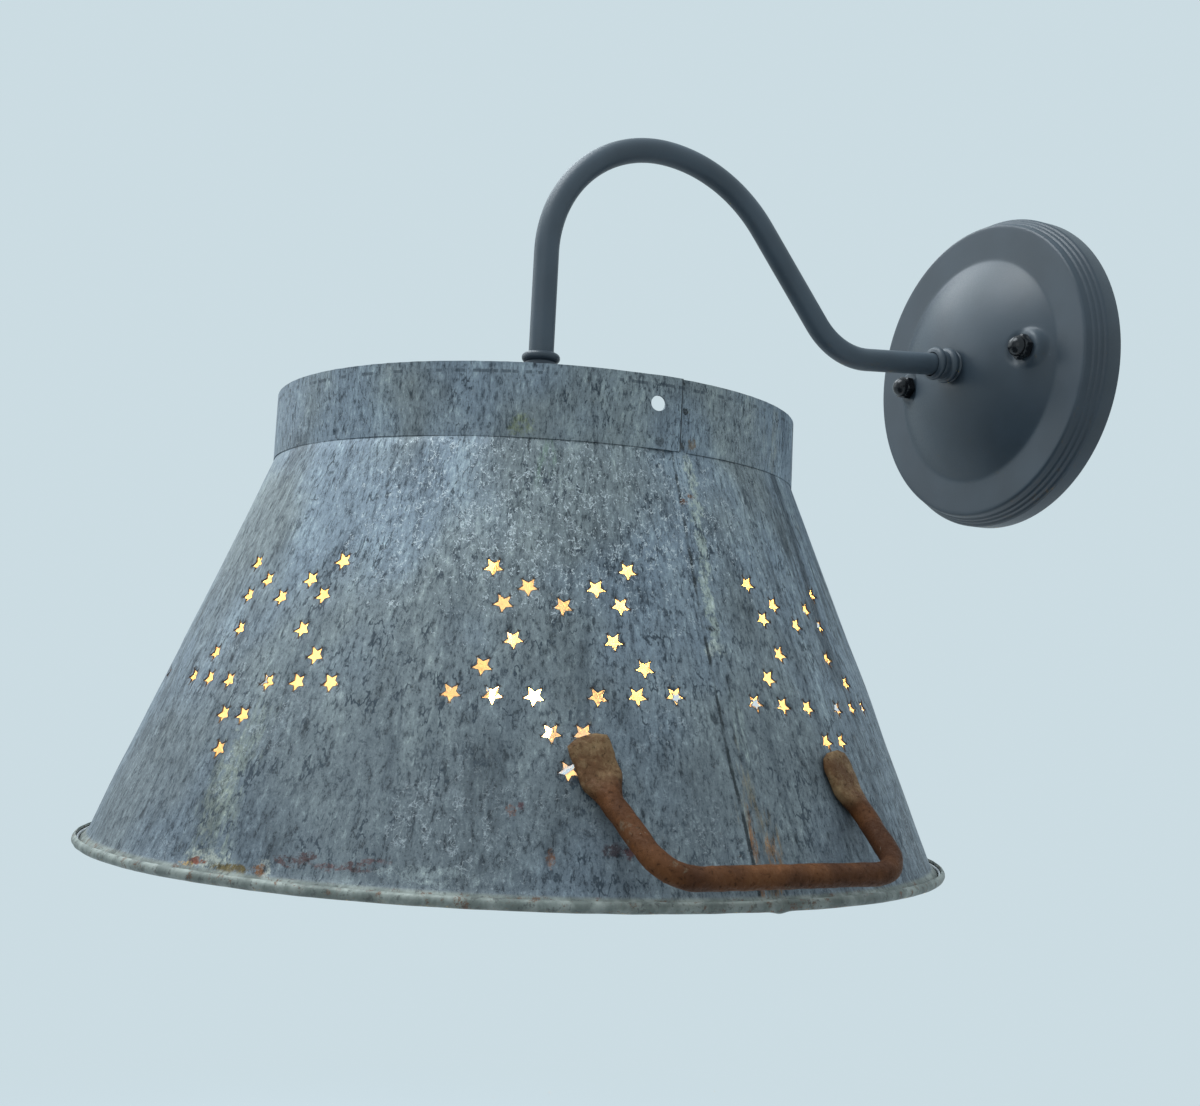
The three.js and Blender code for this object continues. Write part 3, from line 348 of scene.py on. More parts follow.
class Look(Nodes):
    """A material under construction, round its Principled shader."""

    def __init__(self, name):
        self.material = bpy.data.materials.new(name)
        self.material.use_nodes = True
        super().__init__(self.material.node_tree)
        self.shader = self.tree.nodes["Principled BSDF"]
        self.place = self.node("ShaderNodeTexCoord").outputs["Object"]

    def set(self, **inputs):
        for key, value in inputs.items():
            self.feed(self.shader.inputs[key.replace("_", " ")], value)
        return self.material

    def noise(self, scale, detail, rough, at=None, warp=0.0):
        return self.node("ShaderNodeTexNoise", {
            "Vector": at or self.place, "Scale": scale, "Detail": detail, "Roughness": rough,
            "Distortion": warp,
        }).outputs["Fac"]

    def blots(self, scale, detail, rough, low, high, at=None, start=0.0, end=1.0):
        """A noise cut to blots: start on the low side of it, end on the high side."""
        return self.step(self.noise(scale, detail, rough, at), low, high, start, end)

    def sway(self, value, amount):
        """A noise swung about nought, up to half the amount each way."""
        return self.times(self.math("SUBTRACT", value, 0.5), amount)

    def lines(self, scale, width, at):
        """Thin wandering lines, where a noise crosses its middle."""
        off = self.math("ABSOLUTE", self.math("SUBTRACT", self.noise(scale, 3, 0.5, at), 0.5))
        return self.step(off, width, width * 0.3)

    def mix(self, share, a, b, blend="MIX"):
        made = self.node("ShaderNodeMix", data_type="RGBA", blend_type=blend)
        for socket, value in ((made.inputs[0], share), (made.inputs[6], a), (made.inputs[7], b)):
            self.feed(socket, value)
        return made.outputs[2]

    def worn(self, colour, *layers, blend="MIX"):
        """The colour with each layer (mask, amount, over) laid on it, or multiplied into it, in turn."""
        for mask, amount, over in layers:
            colour = self.mix(self.times(mask, amount), colour, over, blend)
        return colour

    def mark(self, name):
        return self.node("ShaderNodeAttribute", attribute_name=name).outputs["Fac"]

    def bump(self, height, distance, strength, over=None):
        made = self.node("ShaderNodeBump", {"Height": height, "Distance": distance, "Strength": strength})
        if over:
            self.feed(made.inputs["Normal"], over)
        return made.outputs["Normal"]


def scaled(colour, by):
    return [c * by for c in colour]


def round_shade(look):
    """Seamless coordinates round the shade in metres, the angle in degrees and the height over the rim."""
    from_axis = look.vector("SUBTRACT", look.place, (0, -REACH * MM, -(SHADE_DROP + CONE_HEIGHT) * MM))
    unit = look.vector("NORMALIZE", look.vector("MULTIPLY", from_axis, (1, 1, 0)))
    x, y, z = look.split(from_axis)
    upright = look.vector("MULTIPLY", from_axis, (0, 0, 1))
    wrapped = look.vector("ADD", look.vector("MULTIPLY", unit, (0.125, 0.125, 0)), upright)
    return wrapped, look.times(look.math("ARCTAN2", y, x), 180 / math.pi), z


# Stains on the tub: angle in degrees, height over the rim, half width and half height in millimetres,
# colour, strength, and whether the stain runs down the wall or sits on it as a crust.
STAINS = (
    (-61.0, 16.0, 9.0, 26.0, (0.290, 0.330, 0.265), 0.55, True),
    (-62.6, 22.0, 5.0, 14.0, (0.330, 0.365, 0.300), 0.65, False),
    (-60.8, 4.4, 9.5, 2.4, (0.430, 0.455, 0.390), 0.85, False),
    (-62.2, 3.6, 3.6, 0.9, (0.190, 0.036, 0.010), 0.95, False),
    (-63.8, 2.5, 3.0, 0.8, (0.520, 0.310, 0.090), 0.90, False),
    (-56.4, 2.7, 8.5, 1.4, (0.110, 0.074, 0.012), 0.95, False),
    (-52.6, 3.8, 3.0, 2.6, (0.420, 0.440, 0.390), 0.80, False),
    (-53.2, 3.2, 2.2, 1.6, (0.190, 0.070, 0.018), 0.95, False),
    (-49.5, 6.6, 5.0, 1.3, (0.085, 0.044, 0.042), 0.90, False),
    (-47.6, 8.2, 2.6, 1.3, (0.080, 0.044, 0.044), 0.90, False),
    (-44.6, 6.0, 6.0, 0.9, (0.120, 0.062, 0.062), 0.85, False),
    (-41.6, 6.4, 4.4, 1.3, (0.085, 0.046, 0.046), 0.90, False),
    (-39.4, 8.4, 3.6, 0.8, (0.120, 0.062, 0.062), 0.80, False),
    (-34.0, 5.6, 12.0, 2.6, (0.330, 0.385, 0.385), 0.55, False),
    (-25.4, 23.6, 1.6, 1.3, (0.180, 0.088, 0.066), 0.90, False),
    (-24.3, 24.6, 1.1, 1.2, (0.100, 0.040, 0.045), 0.90, False),
    (-20.9, 11.9, 1.2, 2.4, (0.190, 0.086, 0.048), 0.90, False),
    (-13.4, 14.0, 4.6, 1.8, (0.045, 0.026, 0.032), 0.85, False),
    (-12.3, 13.2, 1.4, 1.8, (0.115, 0.045, 0.045), 0.85, False),
    (-23.2, 126.0, 3.0, 7.0, (0.200, 0.320, 0.210), 0.50, True),
    (5.4, 124.0, 2.2, 10.0, (0.440, 0.500, 0.450), 0.95, False),
    (4.6, 106.0, 2.0, 13.0, (0.400, 0.460, 0.410), 0.90, False),
    (3.9, 88.0, 1.9, 13.0, (0.400, 0.460, 0.410), 0.85, False),
    (2.6, 117.8, 1.2, 0.9, (0.150, 0.062, 0.028), 0.95, False),
    (4.3, 119.8, 1.4, 1.0, (0.160, 0.080, 0.042), 0.90, False),
    (3.4, 71.0, 3.4, 2.4, (0.480, 0.530, 0.480), 0.80, False),
    (3.1, 77.8, 1.6, 0.9, (0.024, 0.030, 0.030), 0.95, False),
    (4.8, 44.0, 2.2, 15.0, (0.330, 0.390, 0.370), 0.85, True),
    (4.4, 21.0, 5.2, 19.0, (0.180, 0.150, 0.100), 0.85, True),
    (5.6, 12.0, 2.6, 7.0, (0.300, 0.150, 0.060), 0.85, True),
    (3.3, 14.0, 1.3, 12.0, (0.200, 0.090, 0.038), 0.90, True),
    (-28.0, 138.6, 3.6, 3.6, (0.190, 0.225, 0.105), 0.65, False),
    (4.3, 157.3, 0.9, 0.9, (0.012, 0.016, 0.018), 0.95, False),
    (4.7, 148.0, 0.9, 1.2, (0.012, 0.016, 0.018), 0.95, False),
    (4.9, 144.4, 0.8, 0.8, (0.014, 0.018, 0.020), 0.90, False),
    (-1.2, 136.9, 1.6, 1.6, (0.060, 0.075, 0.085), 0.70, False),
    (3.9, 136.7, 1.3, 1.5, (0.080, 0.070, 0.058), 0.80, False),
    (6.9, 137.6, 1.7, 2.0, (0.175, 0.130, 0.085), 0.85, False),
    (23.0, 152.0, 2.2, 9.0, (0.330, 0.375, 0.370), 0.75, True),
    (34.0, 146.0, 5.0, 14.0, (0.300, 0.330, 0.310), 0.75, True),
    (44.0, 150.0, 2.4, 12.0, (0.060, 0.075, 0.080), 0.60, True),
    (52.0, 146.0, 3.4, 14.0, (0.330, 0.360, 0.340), 0.70, True),
)
# The zinc sheet's colours, what its dark and bright grain multiply them by, and the ring's ticks in metres.
ZINC_BLUE, ZINC_GREY, ZINC_DARK = (0.222, 0.281, 0.332), (0.208, 0.246, 0.256), (0.030, 0.046, 0.062)
SHADED, LIT = (0.20, 0.23, 0.26), (1.85, 1.80, 1.68)
# The dark line along the tub's seam, and the painted shadow line at the foot ring's lap.
SEAM_INK, LAP_SHADOW = (0.014, 0.020, 0.023), (0.016, 0.020, 0.024)
TICK_HEIGHT = 0.1553


def galvanised(name, ring=False, tone=1.0):
    """Old zinc on the tub's wall or foot ring: mottled blue-grey with dark flecks, bright salt and stains,
    and painted glints, shadow lines and shade.
    """
    look = Look(name)
    wrapped, angle, height = round_shade(look)
    drawn = look.vector("MULTIPLY", wrapped, (1, 1, 0.45))
    long = look.vector("MULTIPLY", wrapped, (1, 1, 0.12))
    aside = look.vector("ADD", wrapped, (5.3, 2.9, 7.1))
    cloud = look.noise(15, 3, 0.55, wrapped)
    patch = look.noise(70, 5, 0.68, drawn)
    grain = look.noise(560, 6, 0.85, drawn, 0.3)
    fine = look.noise(1250, 3, 0.7, aside)
    streak = look.noise(130, 5, 0.66, long)
    blue, grey, dark = [scaled(colour, tone) for colour in (ZINC_BLUE, ZINC_GREY, ZINC_DARK)]
    ragged = look.sway(look.noise(230, 6, 0.8, wrapped), 4.2)
    combed = look.sway(look.noise(210, 6, 0.75, long), 5.0)
    broken = look.blots(480, 4, 0.8, 0.38, 0.54, aside)
    strands = look.blots(420, 5, 0.8, 0.42, 0.60, look.vector("MULTIPLY", aside, (1, 1, 0.22)))
    level = look.math("DIVIDE", height, MM)
    around = look.node("ShaderNodeCombineXYZ", {"X": angle, "Y": level}).outputs["Vector"]

    def spot(at_angle, at_height, wide, tall, edge):
        """1 inside an ellipse on the wall, whose edge is moved by a noise."""
        off = look.vector("SUBTRACT", around, (at_angle, at_height, 0))
        degrees_wide = math.degrees(wide / wall_radius(at_height))
        off = look.vector("MULTIPLY", off, (1 / degrees_wide, 1 / tall, 0))
        return look.step(look.math("ADD", look.size(off), edge), 1.15, 0.75)

    bright = look.blots(30, 3, 0.6, 0.50, 0.66, aside, 0.06, 0.38)
    colour = look.mix(look.step(cloud, 0.38, 0.62), blue, grey)
    if ring:
        colour = look.mix(look.step(angle, 6.0, 50.0, 0.0, 0.40), colour, scaled(blue, 1.75))
    else:
        # Painted glints: the pale salt is made far brighter in a patch high on the wall near -20 degrees.
        bright = look.math("MAXIMUM", bright, look.times(spot(-20.0, 112.0, 62.0, 30.0, ragged), 0.9))
        # Painted light and shade of the ripples on the wall's right side: its streaks are darkened and
        # lightened there.
        right = look.times(look.step(angle, 12.0, 28.0), 0.60)
        colour = look.worn(
            colour, (look.step(streak, 0.48, 0.32), 0.45, dark), (look.step(streak, 0.50, 0.40), right, dark),
        )
        colour = look.worn(colour, (look.step(streak, 0.54, 0.66), right, LIT), blend="MULTIPLY")
        # Painted shade: the tub's wall is made darker towards the rim, where less light falls on it.
        colour = look.mix(look.step(height, 0.120, 0.0, 0.0, 0.58), colour, scaled(blue, 0.42))
    for at_angle, at_height, wide, tall, tint, amount, runs in STAINS:
        if ring == (at_height > CONE_HEIGHT):
            share = spot(at_angle, at_height, wide, tall, combed if runs else ragged)
            colour = look.worn(colour, (look.times(share, strands if runs else broken), amount, tint))
    colour = look.worn(
        colour,
        (look.step(patch, 0.50, 0.70), 0.45, LIT),
        (look.step(patch, 0.50, 0.30), 0.55, SHADED),
        (look.step(grain, 0.49, 0.37), 0.90, SHADED),
        (look.step(grain, 0.53, 0.66), 0.75, LIT),
        (look.step(fine, 0.45, 0.32), 0.50, SHADED),
        (look.blots(300, 2, 0.5, 0.34, 0.25, drawn), 0.90, SHADED),
        blend="MULTIPLY",
    )
    dashes = look.times(look.lines(330, 0.040, drawn), look.blots(210, 3, 0.6, 0.48, 0.55, aside))
    colour = look.worn(colour, (dashes, look.blots(48, 4, 0.66, 0.42, 0.60, aside, 0.20, 0.95), dark))
    if ring:
        # Painted shadow: a dark line on the ring where its lapped outer sheet ends; and a row of dark ticks.
        lap = look.step(look.math("ABSOLUTE", look.math("SUBTRACT", angle, RING_SEAM)), 0.34, 0.20)
        ticks = look.blots(190, 2, 0.6, 0.50, 0.56, look.vector("MULTIPLY", wrapped, (1, 1, 0)))
        row = look.step(look.math("ABSOLUTE", look.math("SUBTRACT", height, TICK_HEIGHT)), 0.0007, 0.0003)
        colour = look.worn(colour, (lap, 0.85, LAP_SHADOW), (look.times(row, ticks), 0.65, dark))
    else:
        lap = look.math("SUBTRACT", angle, look.step(height, 0.045, 0.005, 2.05, 2.85))
        lap = look.step(look.math("ADD", look.math("ABSOLUTE", lap), look.times(ragged, 0.14)), 0.30, 0.14)
        colour = look.worn(colour, (lap, look.blots(70, 4, 0.7, 0.44, 0.56, aside, 0.22, 0.92), SEAM_INK))
    # Pale salt lines and flecks, with the painted glints of that patch.
    salt = look.times(look.lines(640, 0.034, aside), look.blots(330, 3, 0.6, 0.50, 0.57, wrapped))
    colour = look.worn(
        colour, (salt, bright, (0.62, 0.68, 0.70)), (look.step(fine, 0.60, 0.70), bright, (0.52, 0.58, 0.60)),
    )
    if not ring:
        bead = look.mix(look.blots(120, 4, 0.6, 0.40, 0.62), (0.150, 0.172, 0.152), (0.300, 0.330, 0.295))
        bead = look.worn(
            bead,
            (look.blots(260, 6, 0.8, 0.55, 0.62), 0.85, (0.13, 0.055, 0.020)),
            (look.blots(420, 4, 0.7, 0.44, 0.36), 0.60, (0.050, 0.052, 0.045)),
        )
        colour = look.worn(colour, (look.step(height, 0.0026, 0.0014), 0.92, bead))
        inner = look.mix(look.blots(70, 4, 0.6, 0.35, 0.65), (0.44, 0.41, 0.35), (0.56, 0.52, 0.44))
        colour = look.mix(look.mark("inside"), colour, inner)
        # Dark brown round the punched star holes: rust on the cut edges, and painted shadow along the holes'
        # rims.
        colour = look.mix(look.step(look.mark("punched"), 0.5, 0.95), colour, (0.030, 0.016, 0.009))
    relief = look.math("ADD", look.times(grain, 0.65), look.times(fine, 0.35))
    return look.set(
        Base_Color=colour, Metallic=0.30, IOR=1.5, Roughness=look.step(grain, 0.3, 0.7, 0.66, 0.42),
        Normal=look.bump(cloud, 0.0016, 0.5, look.bump(relief, 0.00034, 0.6)),
    )


def level_zinc(name):
    """The tub's base, which lies level: mottled zinc, dusty, with painted shade round its edge and round the
    cup.
    """
    look = Look(name)
    off = look.vector("MULTIPLY", look.vector("SUBTRACT", look.place, (0, -REACH * MM, 0)), (1, 1, 0))
    out = look.math("ADD", look.size(off), look.sway(look.noise(60, 5, 0.7), 0.022))
    grain = look.noise(470, 6, 0.85, None, 0.3)
    tint = look.mix(look.blots(16, 4, 0.6, 0.36, 0.64), (0.205, 0.260, 0.306), (0.200, 0.232, 0.240))
    tint = look.worn(
        tint,
        (look.blots(70, 5, 0.7, 0.52, 0.68), 0.45, (0.340, 0.365, 0.350)),
        # Painted shade: darker round the base's edge, where the foot ring meets it, and round the cup in its
        # middle.
        (look.step(out, 0.078, 0.094), 0.50, (0.085, 0.080, 0.062)),
        (look.step(out, 0.052, 0.036), 0.45, (0.075, 0.082, 0.080)),
        (look.blots(260, 5, 0.8, 0.64, 0.70), 0.60, (0.120, 0.070, 0.035)),
    )
    tint = look.worn(
        tint,
        (look.step(grain, 0.49, 0.37), 0.85, SHADED),
        (look.step(grain, 0.54, 0.68), 0.70, (1.80, 1.75, 1.65)),
        (look.blots(1250, 3, 0.7, 0.45, 0.32), 0.50, SHADED),
        blend="MULTIPLY",
    )
    return look.set(
        Base_Color=tint, Metallic=0.30, IOR=1.5, Normal=look.bump(grain, 0.00030, 0.6),
        Roughness=look.step(grain, 0.3, 0.7, 0.68, 0.46),
    )


def painted(name, colour, rough=0.40):
    """Satin paint with faint clouds and a few pale scuffs."""
    look = Look(name)
    grain = look.noise(1500, 2, 0.5)
    tint = look.mix(look.blots(35, 3, 0.5, 0.35, 0.65), scaled(colour, 0.90), scaled(colour, 1.12))
    return look.set(
        Base_Color=look.worn(tint, (look.blots(420, 4, 0.7, 0.66, 0.74), 0.35, scaled(colour, 1.7))),
        Normal=look.bump(grain, 0.00005, 0.5),
        Roughness=look.step(grain, 0.3, 0.7, rough - 0.04, rough + 0.06),
    )


def rusted(name):
    """Forged iron under brown rust, paler on the hammered palms."""
    look = Look(name)
    pits = look.noise(620, 6, 0.75, None, 0.4)
    tint = look.mix(look.blots(38, 3, 0.6, 0.36, 0.64), (0.058, 0.019, 0.005), (0.134, 0.050, 0.015))
    palm = look.mix(look.blots(120, 5, 0.7, 0.38, 0.62), (0.118, 0.056, 0.022), (0.255, 0.165, 0.080))
    tint = look.worn(tint, (look.mark("palm"), 0.85, palm))
    tint = look.worn(
        tint,
        (look.step(pits, 0.54, 0.68), 0.60, (1.80, 1.75, 1.70)),
        (look.step(pits, 0.46, 0.34), 0.75, (0.26, 0.24, 0.22)),
        blend="MULTIPLY",
    )
    tint = look.worn(
        tint,
        (look.blots(110, 5, 0.75, 0.62, 0.72), 0.45, (0.200, 0.165, 0.110)),
        (look.blots(240, 5, 0.8, 0.66, 0.72), 0.60, (0.360, 0.340, 0.280)),
    )
    normal = look.bump(look.noise(1500, 3, 0.6), 0.00012, 0.6, look.bump(pits, 0.00040, 0.6))
    rough = look.step(pits, 0.3, 0.7, 0.85, 0.48)
    return look.set(Base_Color=tint, Normal=normal, Roughness=rough, Specular_IOR_Level=0.22)


def plated(name, colour, metal, rough, worn=(0.3, 0.29, 0.27)):
    """Plated metal, clouded and worn through in small spots."""
    look = Look(name)
    cloud = look.noise(90, 4, 0.6)
    tint = look.mix(look.step(cloud, 0.35, 0.7), colour, scaled(colour, 0.72))
    return look.set(
        Base_Color=look.worn(tint, (look.blots(330, 5, 0.7, 0.60, 0.70), 0.4, worn)), Metallic=metal,
        Normal=look.bump(look.noise(900, 3, 0.6), 0.00004, 0.5),
        Roughness=look.step(cloud, 0.3, 0.7, rough - 0.06, rough + 0.12),
    )


def moulded(name, colour, rough=0.5):
    """Moulded plastic with a fine skin."""
    look = Look(name)
    fine = look.noise(1300, 2, 0.5)
    return look.set(
        Base_Color=look.mix(look.blots(70, 3, 0.5, 0.3, 0.7), scaled(colour, 0.85), scaled(colour, 1.15)),
        Normal=look.bump(fine, 0.00003, 0.5), Roughness=look.step(fine, 0.3, 0.7, rough - 0.08, rough + 0.1),
    )


def clear_glass(name):
    """Faintly rippled glass that casts no shadow."""
    look = Look(name)
    ripple = look.bump(look.noise(45, 2, 0.5), 0.0003, 0.15)
    look.set(Base_Color=(1, 1, 1), Roughness=0.02, IOR=1.45, Normal=ripple, Transmission_Weight=1.0)
    shadow = look.node("ShaderNodeLightPath").outputs["Is Shadow Ray"]
    clear = look.node("ShaderNodeBsdfTransparent").outputs[0]
    look.blend(shadow, look.shader.outputs[0], clear, "Material Output")
    return look.material


def glowing(name, colour, strength):
    """A white-hot wire, its heat uneven."""
    look = Look(name)
    heat = look.noise(300, 2, 0.5)
    return look.set(
        Base_Color=look.mix(heat, (1, 0.62, 0.22), (1, 0.72, 0.34)), Roughness=0.6,
        Emission_Color=look.mix(look.step(heat, 0.3, 0.7), colour, (1.0, 0.74, 0.36)),
        Emission_Strength=strength,
    )


# Coats: each slot's name with the material that shows it
TUB_SHEET = ("galvanised", galvanised("weathered_zinc"))
RING_SHEET = ("galvanised", galvanised("weathered_zinc_ring", True, 0.98))
LEVEL_SHEET = ("galvanised", level_zinc("weathered_zinc_base"))
CHARCOAL = ("dark_paint", painted("charcoal_paint", (0.034, 0.050, 0.066)))
# The arm's coat is the plate's paint made lighter: painted light, for the brighter light that falls on the
# arm.
ARM_LIT_CHARCOAL = ("dark_paint", painted("charcoal_paint_arm_lit", (0.056, 0.078, 0.098), 0.44))
RUST = ("rusted_iron", rusted("rusted_iron"))
BLACK_NUT = ("black_nickel", plated("black_nickel", (0.012, 0.013, 0.016), 0.35, 0.16, (0.05, 0.05, 0.05)))
ZINC = ("zinc", plated("zinc_plate", (0.52, 0.53, 0.55), 0.95, 0.34))
BRASS = ("brass", plated("satin_brass", (0.56, 0.38, 0.13), 0.95, 0.32, (0.25, 0.17, 0.07)))
PHENOLIC = ("phenolic", moulded("black_phenolic", (0.018, 0.016, 0.015), 0.42))
BLACK_WIRE = ("black_insulation", moulded("black_insulation", (0.02, 0.02, 0.022)))
WHITE_WIRE = ("white_insulation", moulded("white_insulation", (0.72, 0.70, 0.64)))
GREEN_WIRE = ("green_insulation", moulded("green_insulation", (0.045, 0.20, 0.06)))
GREEN_STEEL = ("green_screw", plated("green_steel", (0.05, 0.26, 0.09), 0.7, 0.35))
ORANGE = ("wire_nut_plastic", moulded("orange_plastic", (0.58, 0.20, 0.03)))
GLASS = ("clear_glass", clear_glass("clear_glass"))
GLOW = ("filament", glowing("glowing_filament", (1.0, 0.66, 0.30), 60.0))


# Shade body: its sheet is laid out flat, with PER_DEGREE millimetres to a degree round the wall, and upwards
# by the length of the path that its section takes from the rolled rim to the neck.
PER_DEGREE = 2.18
BEAD, CURL_END, CURL_STEPS, FLARE = 1.7, 435, 18, 5.0
RIM_RADIUS, WALL_STEPS = 153.8, 32
SEAM_ANGLE, NOTCH_ANGLE = 3.5, 364.6
SPACING, SEAM_SPACING = 1.5, 0.55
STAR, WAIST, STAR_TURN = 3.15, 0.48, 5
COLLAR = (STAR + 0.55, STAR * WAIST + 0.45)
DIMPLE, DIMPLE_DEPTH, CLEAR_OF_STAR, CLEAR_OF_SEAM = 5.0, 0.4, 5.9, 0.4
AT_EDGE, SAME_PLACE = 0.02, 1e-4
GROUP_OUTER, GROUP_INNER, GROUP_SLANT, ARM_SAG = 34.8, 15.7, 72.2, 1.2
DRIFTS = (0, 0.4, -0.6, 0.7, -0.3, -0.5, 0.5, 2)
TURNS = (0, -0.7, 0.9, 0.5, -1.1, 0.6, 0, 1.9)
FIRST_GROUP, GROUPS = 23.6, 8
THINNED = 0.35
ROW, ROW_REACH = 4, 9
ROWS = {}


def smooth(x, low, high):
    t = min(1, max(0, (x - low) / (high - low)))
    return t * t * (3 - 2 * t)


def polar(radius, degrees, height):
    a = rad(degrees)
    return Vector((radius * math.cos(a), radius * math.sin(a), height))


def off_angle(angle, middle):
    return ((angle - middle + 180) % 360) - 180


def palm_frame(angle, height, turn, middle=0.0):
    """Across, along and out of a palm that lies turned on the wall, and the wall's place under it."""
    out, up = polar(1, angle + middle, 0), Vector((0, 0, 1))
    normal = out * math.cos(TAPER) + up * math.sin(TAPER)
    slant = up * math.cos(TAPER) - out * math.sin(TAPER)
    across = slant.cross(normal)
    place = out * wall_radius(height) + up * (height - CONE_HEIGHT)
    c, s = math.cos(rad(turn)), math.sin(rad(turn))
    return across * c + slant * s, slant * c - across * s, normal, place


def body_path():
    """The middle of the sheet from the end of the rolled rim up to the neck, as (radius, height)."""
    half, tall = SHEET / 2 / math.cos(TAPER), CONE_HEIGHT - FLARE
    roll = arc(RIM_RADIUS - BEAD, -CONE_HEIGHT, BEAD - SHEET / 2, CURL_END, 180, CURL_STEPS)
    flare = [(wall_radius(h) - half + 0.5 * (1 - h / FLARE) ** 2, h - CONE_HEIGHT) for h in (1.7, 3.3)]
    shares = [i / WALL_STEPS for i in range(WALL_STEPS + 1)]
    wall = [(wall_radius(FLARE + tall * share) - half, tall * (share - 1)) for share in shares]
    return roll + flare + wall + [(NECK_RADIUS - SHEET / 2, z) for z in (0.6, 3.5, 7.0)]


PATH = body_path()
PATH_AT = [0.0]
for (r0, z0), (r1, z1) in zip(PATH, PATH[1:]):
    PATH_AT.append(PATH_AT[-1] + math.hypot(r1 - r0, z1 - z0))
ROLL_AT, WALL_AT = PATH_AT[CURL_STEPS], PATH_AT[CURL_STEPS + 3]


def on_path(v):
    """Radius, height and outward normal of the body's middle at a length v along its path."""
    i = min(max(bisect.bisect_right(PATH_AT, v) - 1, 0), len(PATH) - 2)
    share = (v - PATH_AT[i]) / (PATH_AT[i + 1] - PATH_AT[i])
    r, z = [a + (b - a) * share for a, b in zip(PATH[i], PATH[i + 1])]
    before = PATH[i if share > 0.001 else max(0, i - 1)]
    after = PATH[i + 1 if share < 0.999 else min(len(PATH) - 1, i + 2)]
    along = Vector((after[0] - before[0], after[1] - before[1])).normalized()
    return r, z, along.y, -along.x


def group_places(turn):
    """The twenty small stars of a large one, at its corners and the middles of its edges."""
    corners = []
    for i in range(10):
        radius = GROUP_INNER if i % 2 else GROUP_OUTER
        a = rad(turn - 90 + 36 * i)
        corners.append((radius * math.cos(a), radius * math.sin(a) - (ARM_SAG if i in (2, 8) else 0)))
    places = []
    for (x0, y0), (x1, y1) in zip(corners, corners[1:] + corners[:1]):
        places += [(x0, y0), ((x0 + x1) / 2, (y0 + y1) / 2)]
    return places


def star_places(start):
    """Every small star's place on the flat sheet, its turn, and the wall's radius there."""
    stars = []
    for group in range(GROUPS):
        for i, (across, up) in enumerate(group_places(TURNS[group])):
            slant = GROUP_SLANT + up
            radius = wall_radius(slant * math.cos(TAPER))
            angle = FIRST_GROUP + 360 * group / GROUPS + DRIFTS[group] + math.degrees(across / radius)
            u = (start + ((angle - start) % 360)) * PER_DEGREE
            v = WALL_AT + slant - FLARE / math.cos(TAPER)
            stars.append((u, v, STAR_TURN * math.sin(2.4 * i + 1.7 * group), radius))
    return stars


def star_ring(star, radii, count):
    """Points round a star on the flat sheet, one of them straight below it, at the radii in turn."""
    u, v, turn, radius = star
    squeeze = math.degrees(1 / radius) * PER_DEGREE
    points = []
    for i in range(count):
        a = rad(-90.0 + 360 * i / count + turn)
        r = radii[i % len(radii)]
        points.append((u + r * math.cos(a) * squeeze, v + r * math.sin(a)))
    return points


def near(stars, v):
    """The stars that lie about as high as v, looked up once for each row of the sheet."""
    key = int(v // ROW)
    if key not in ROWS:
        ROWS[key] = [s for s in stars if abs(s[1] - key * ROW - ROW / 2) < ROW_REACH]
    return ROWS[key]


def sheet_dent(angle, height):
    """How far the hand-worked wall stands off its true cone."""
    place = polar(2.1, angle, height * 0.017)
    dent = 0.75 * noise.noise(place) + 0.30 * noise.noise(place * 2.7)
    ripples = math.exp(-(off_angle(angle, 44) / 13) ** 2)
    wave = math.sin(angle * 1.75 + 1.6 * noise.noise(place * 2))
    dent += 0.16 * ripples * wave * smooth(height, 20, 60)
    return dent * smooth(height, 0, 30) * smooth(height, CONE_HEIGHT, CONE_HEIGHT - 12)


def seam_rise(angle, height):
    """The lapped and soldered side seam, proud of the wall's outside."""
    if not 1 < height < CONE_HEIGHT + 1:
        return 0.0
    off = rad(off_angle(angle, SEAM_ANGLE)) * wall_radius(height)
    ragged = noise.noise(Vector((height * 0.11, 3.1, 0))) * 1.1
    lump = 0.22 * noise.noise(Vector((off * 0.5, height * 0.2, 7.7)))
    lap = smooth(off, -2.7, -2.3) * (0.42 + lump)
    fall = 1 - smooth(off, 2.0 + ragged, 4.4 + ragged)
    return lap * fall * smooth(height, 2, 6)


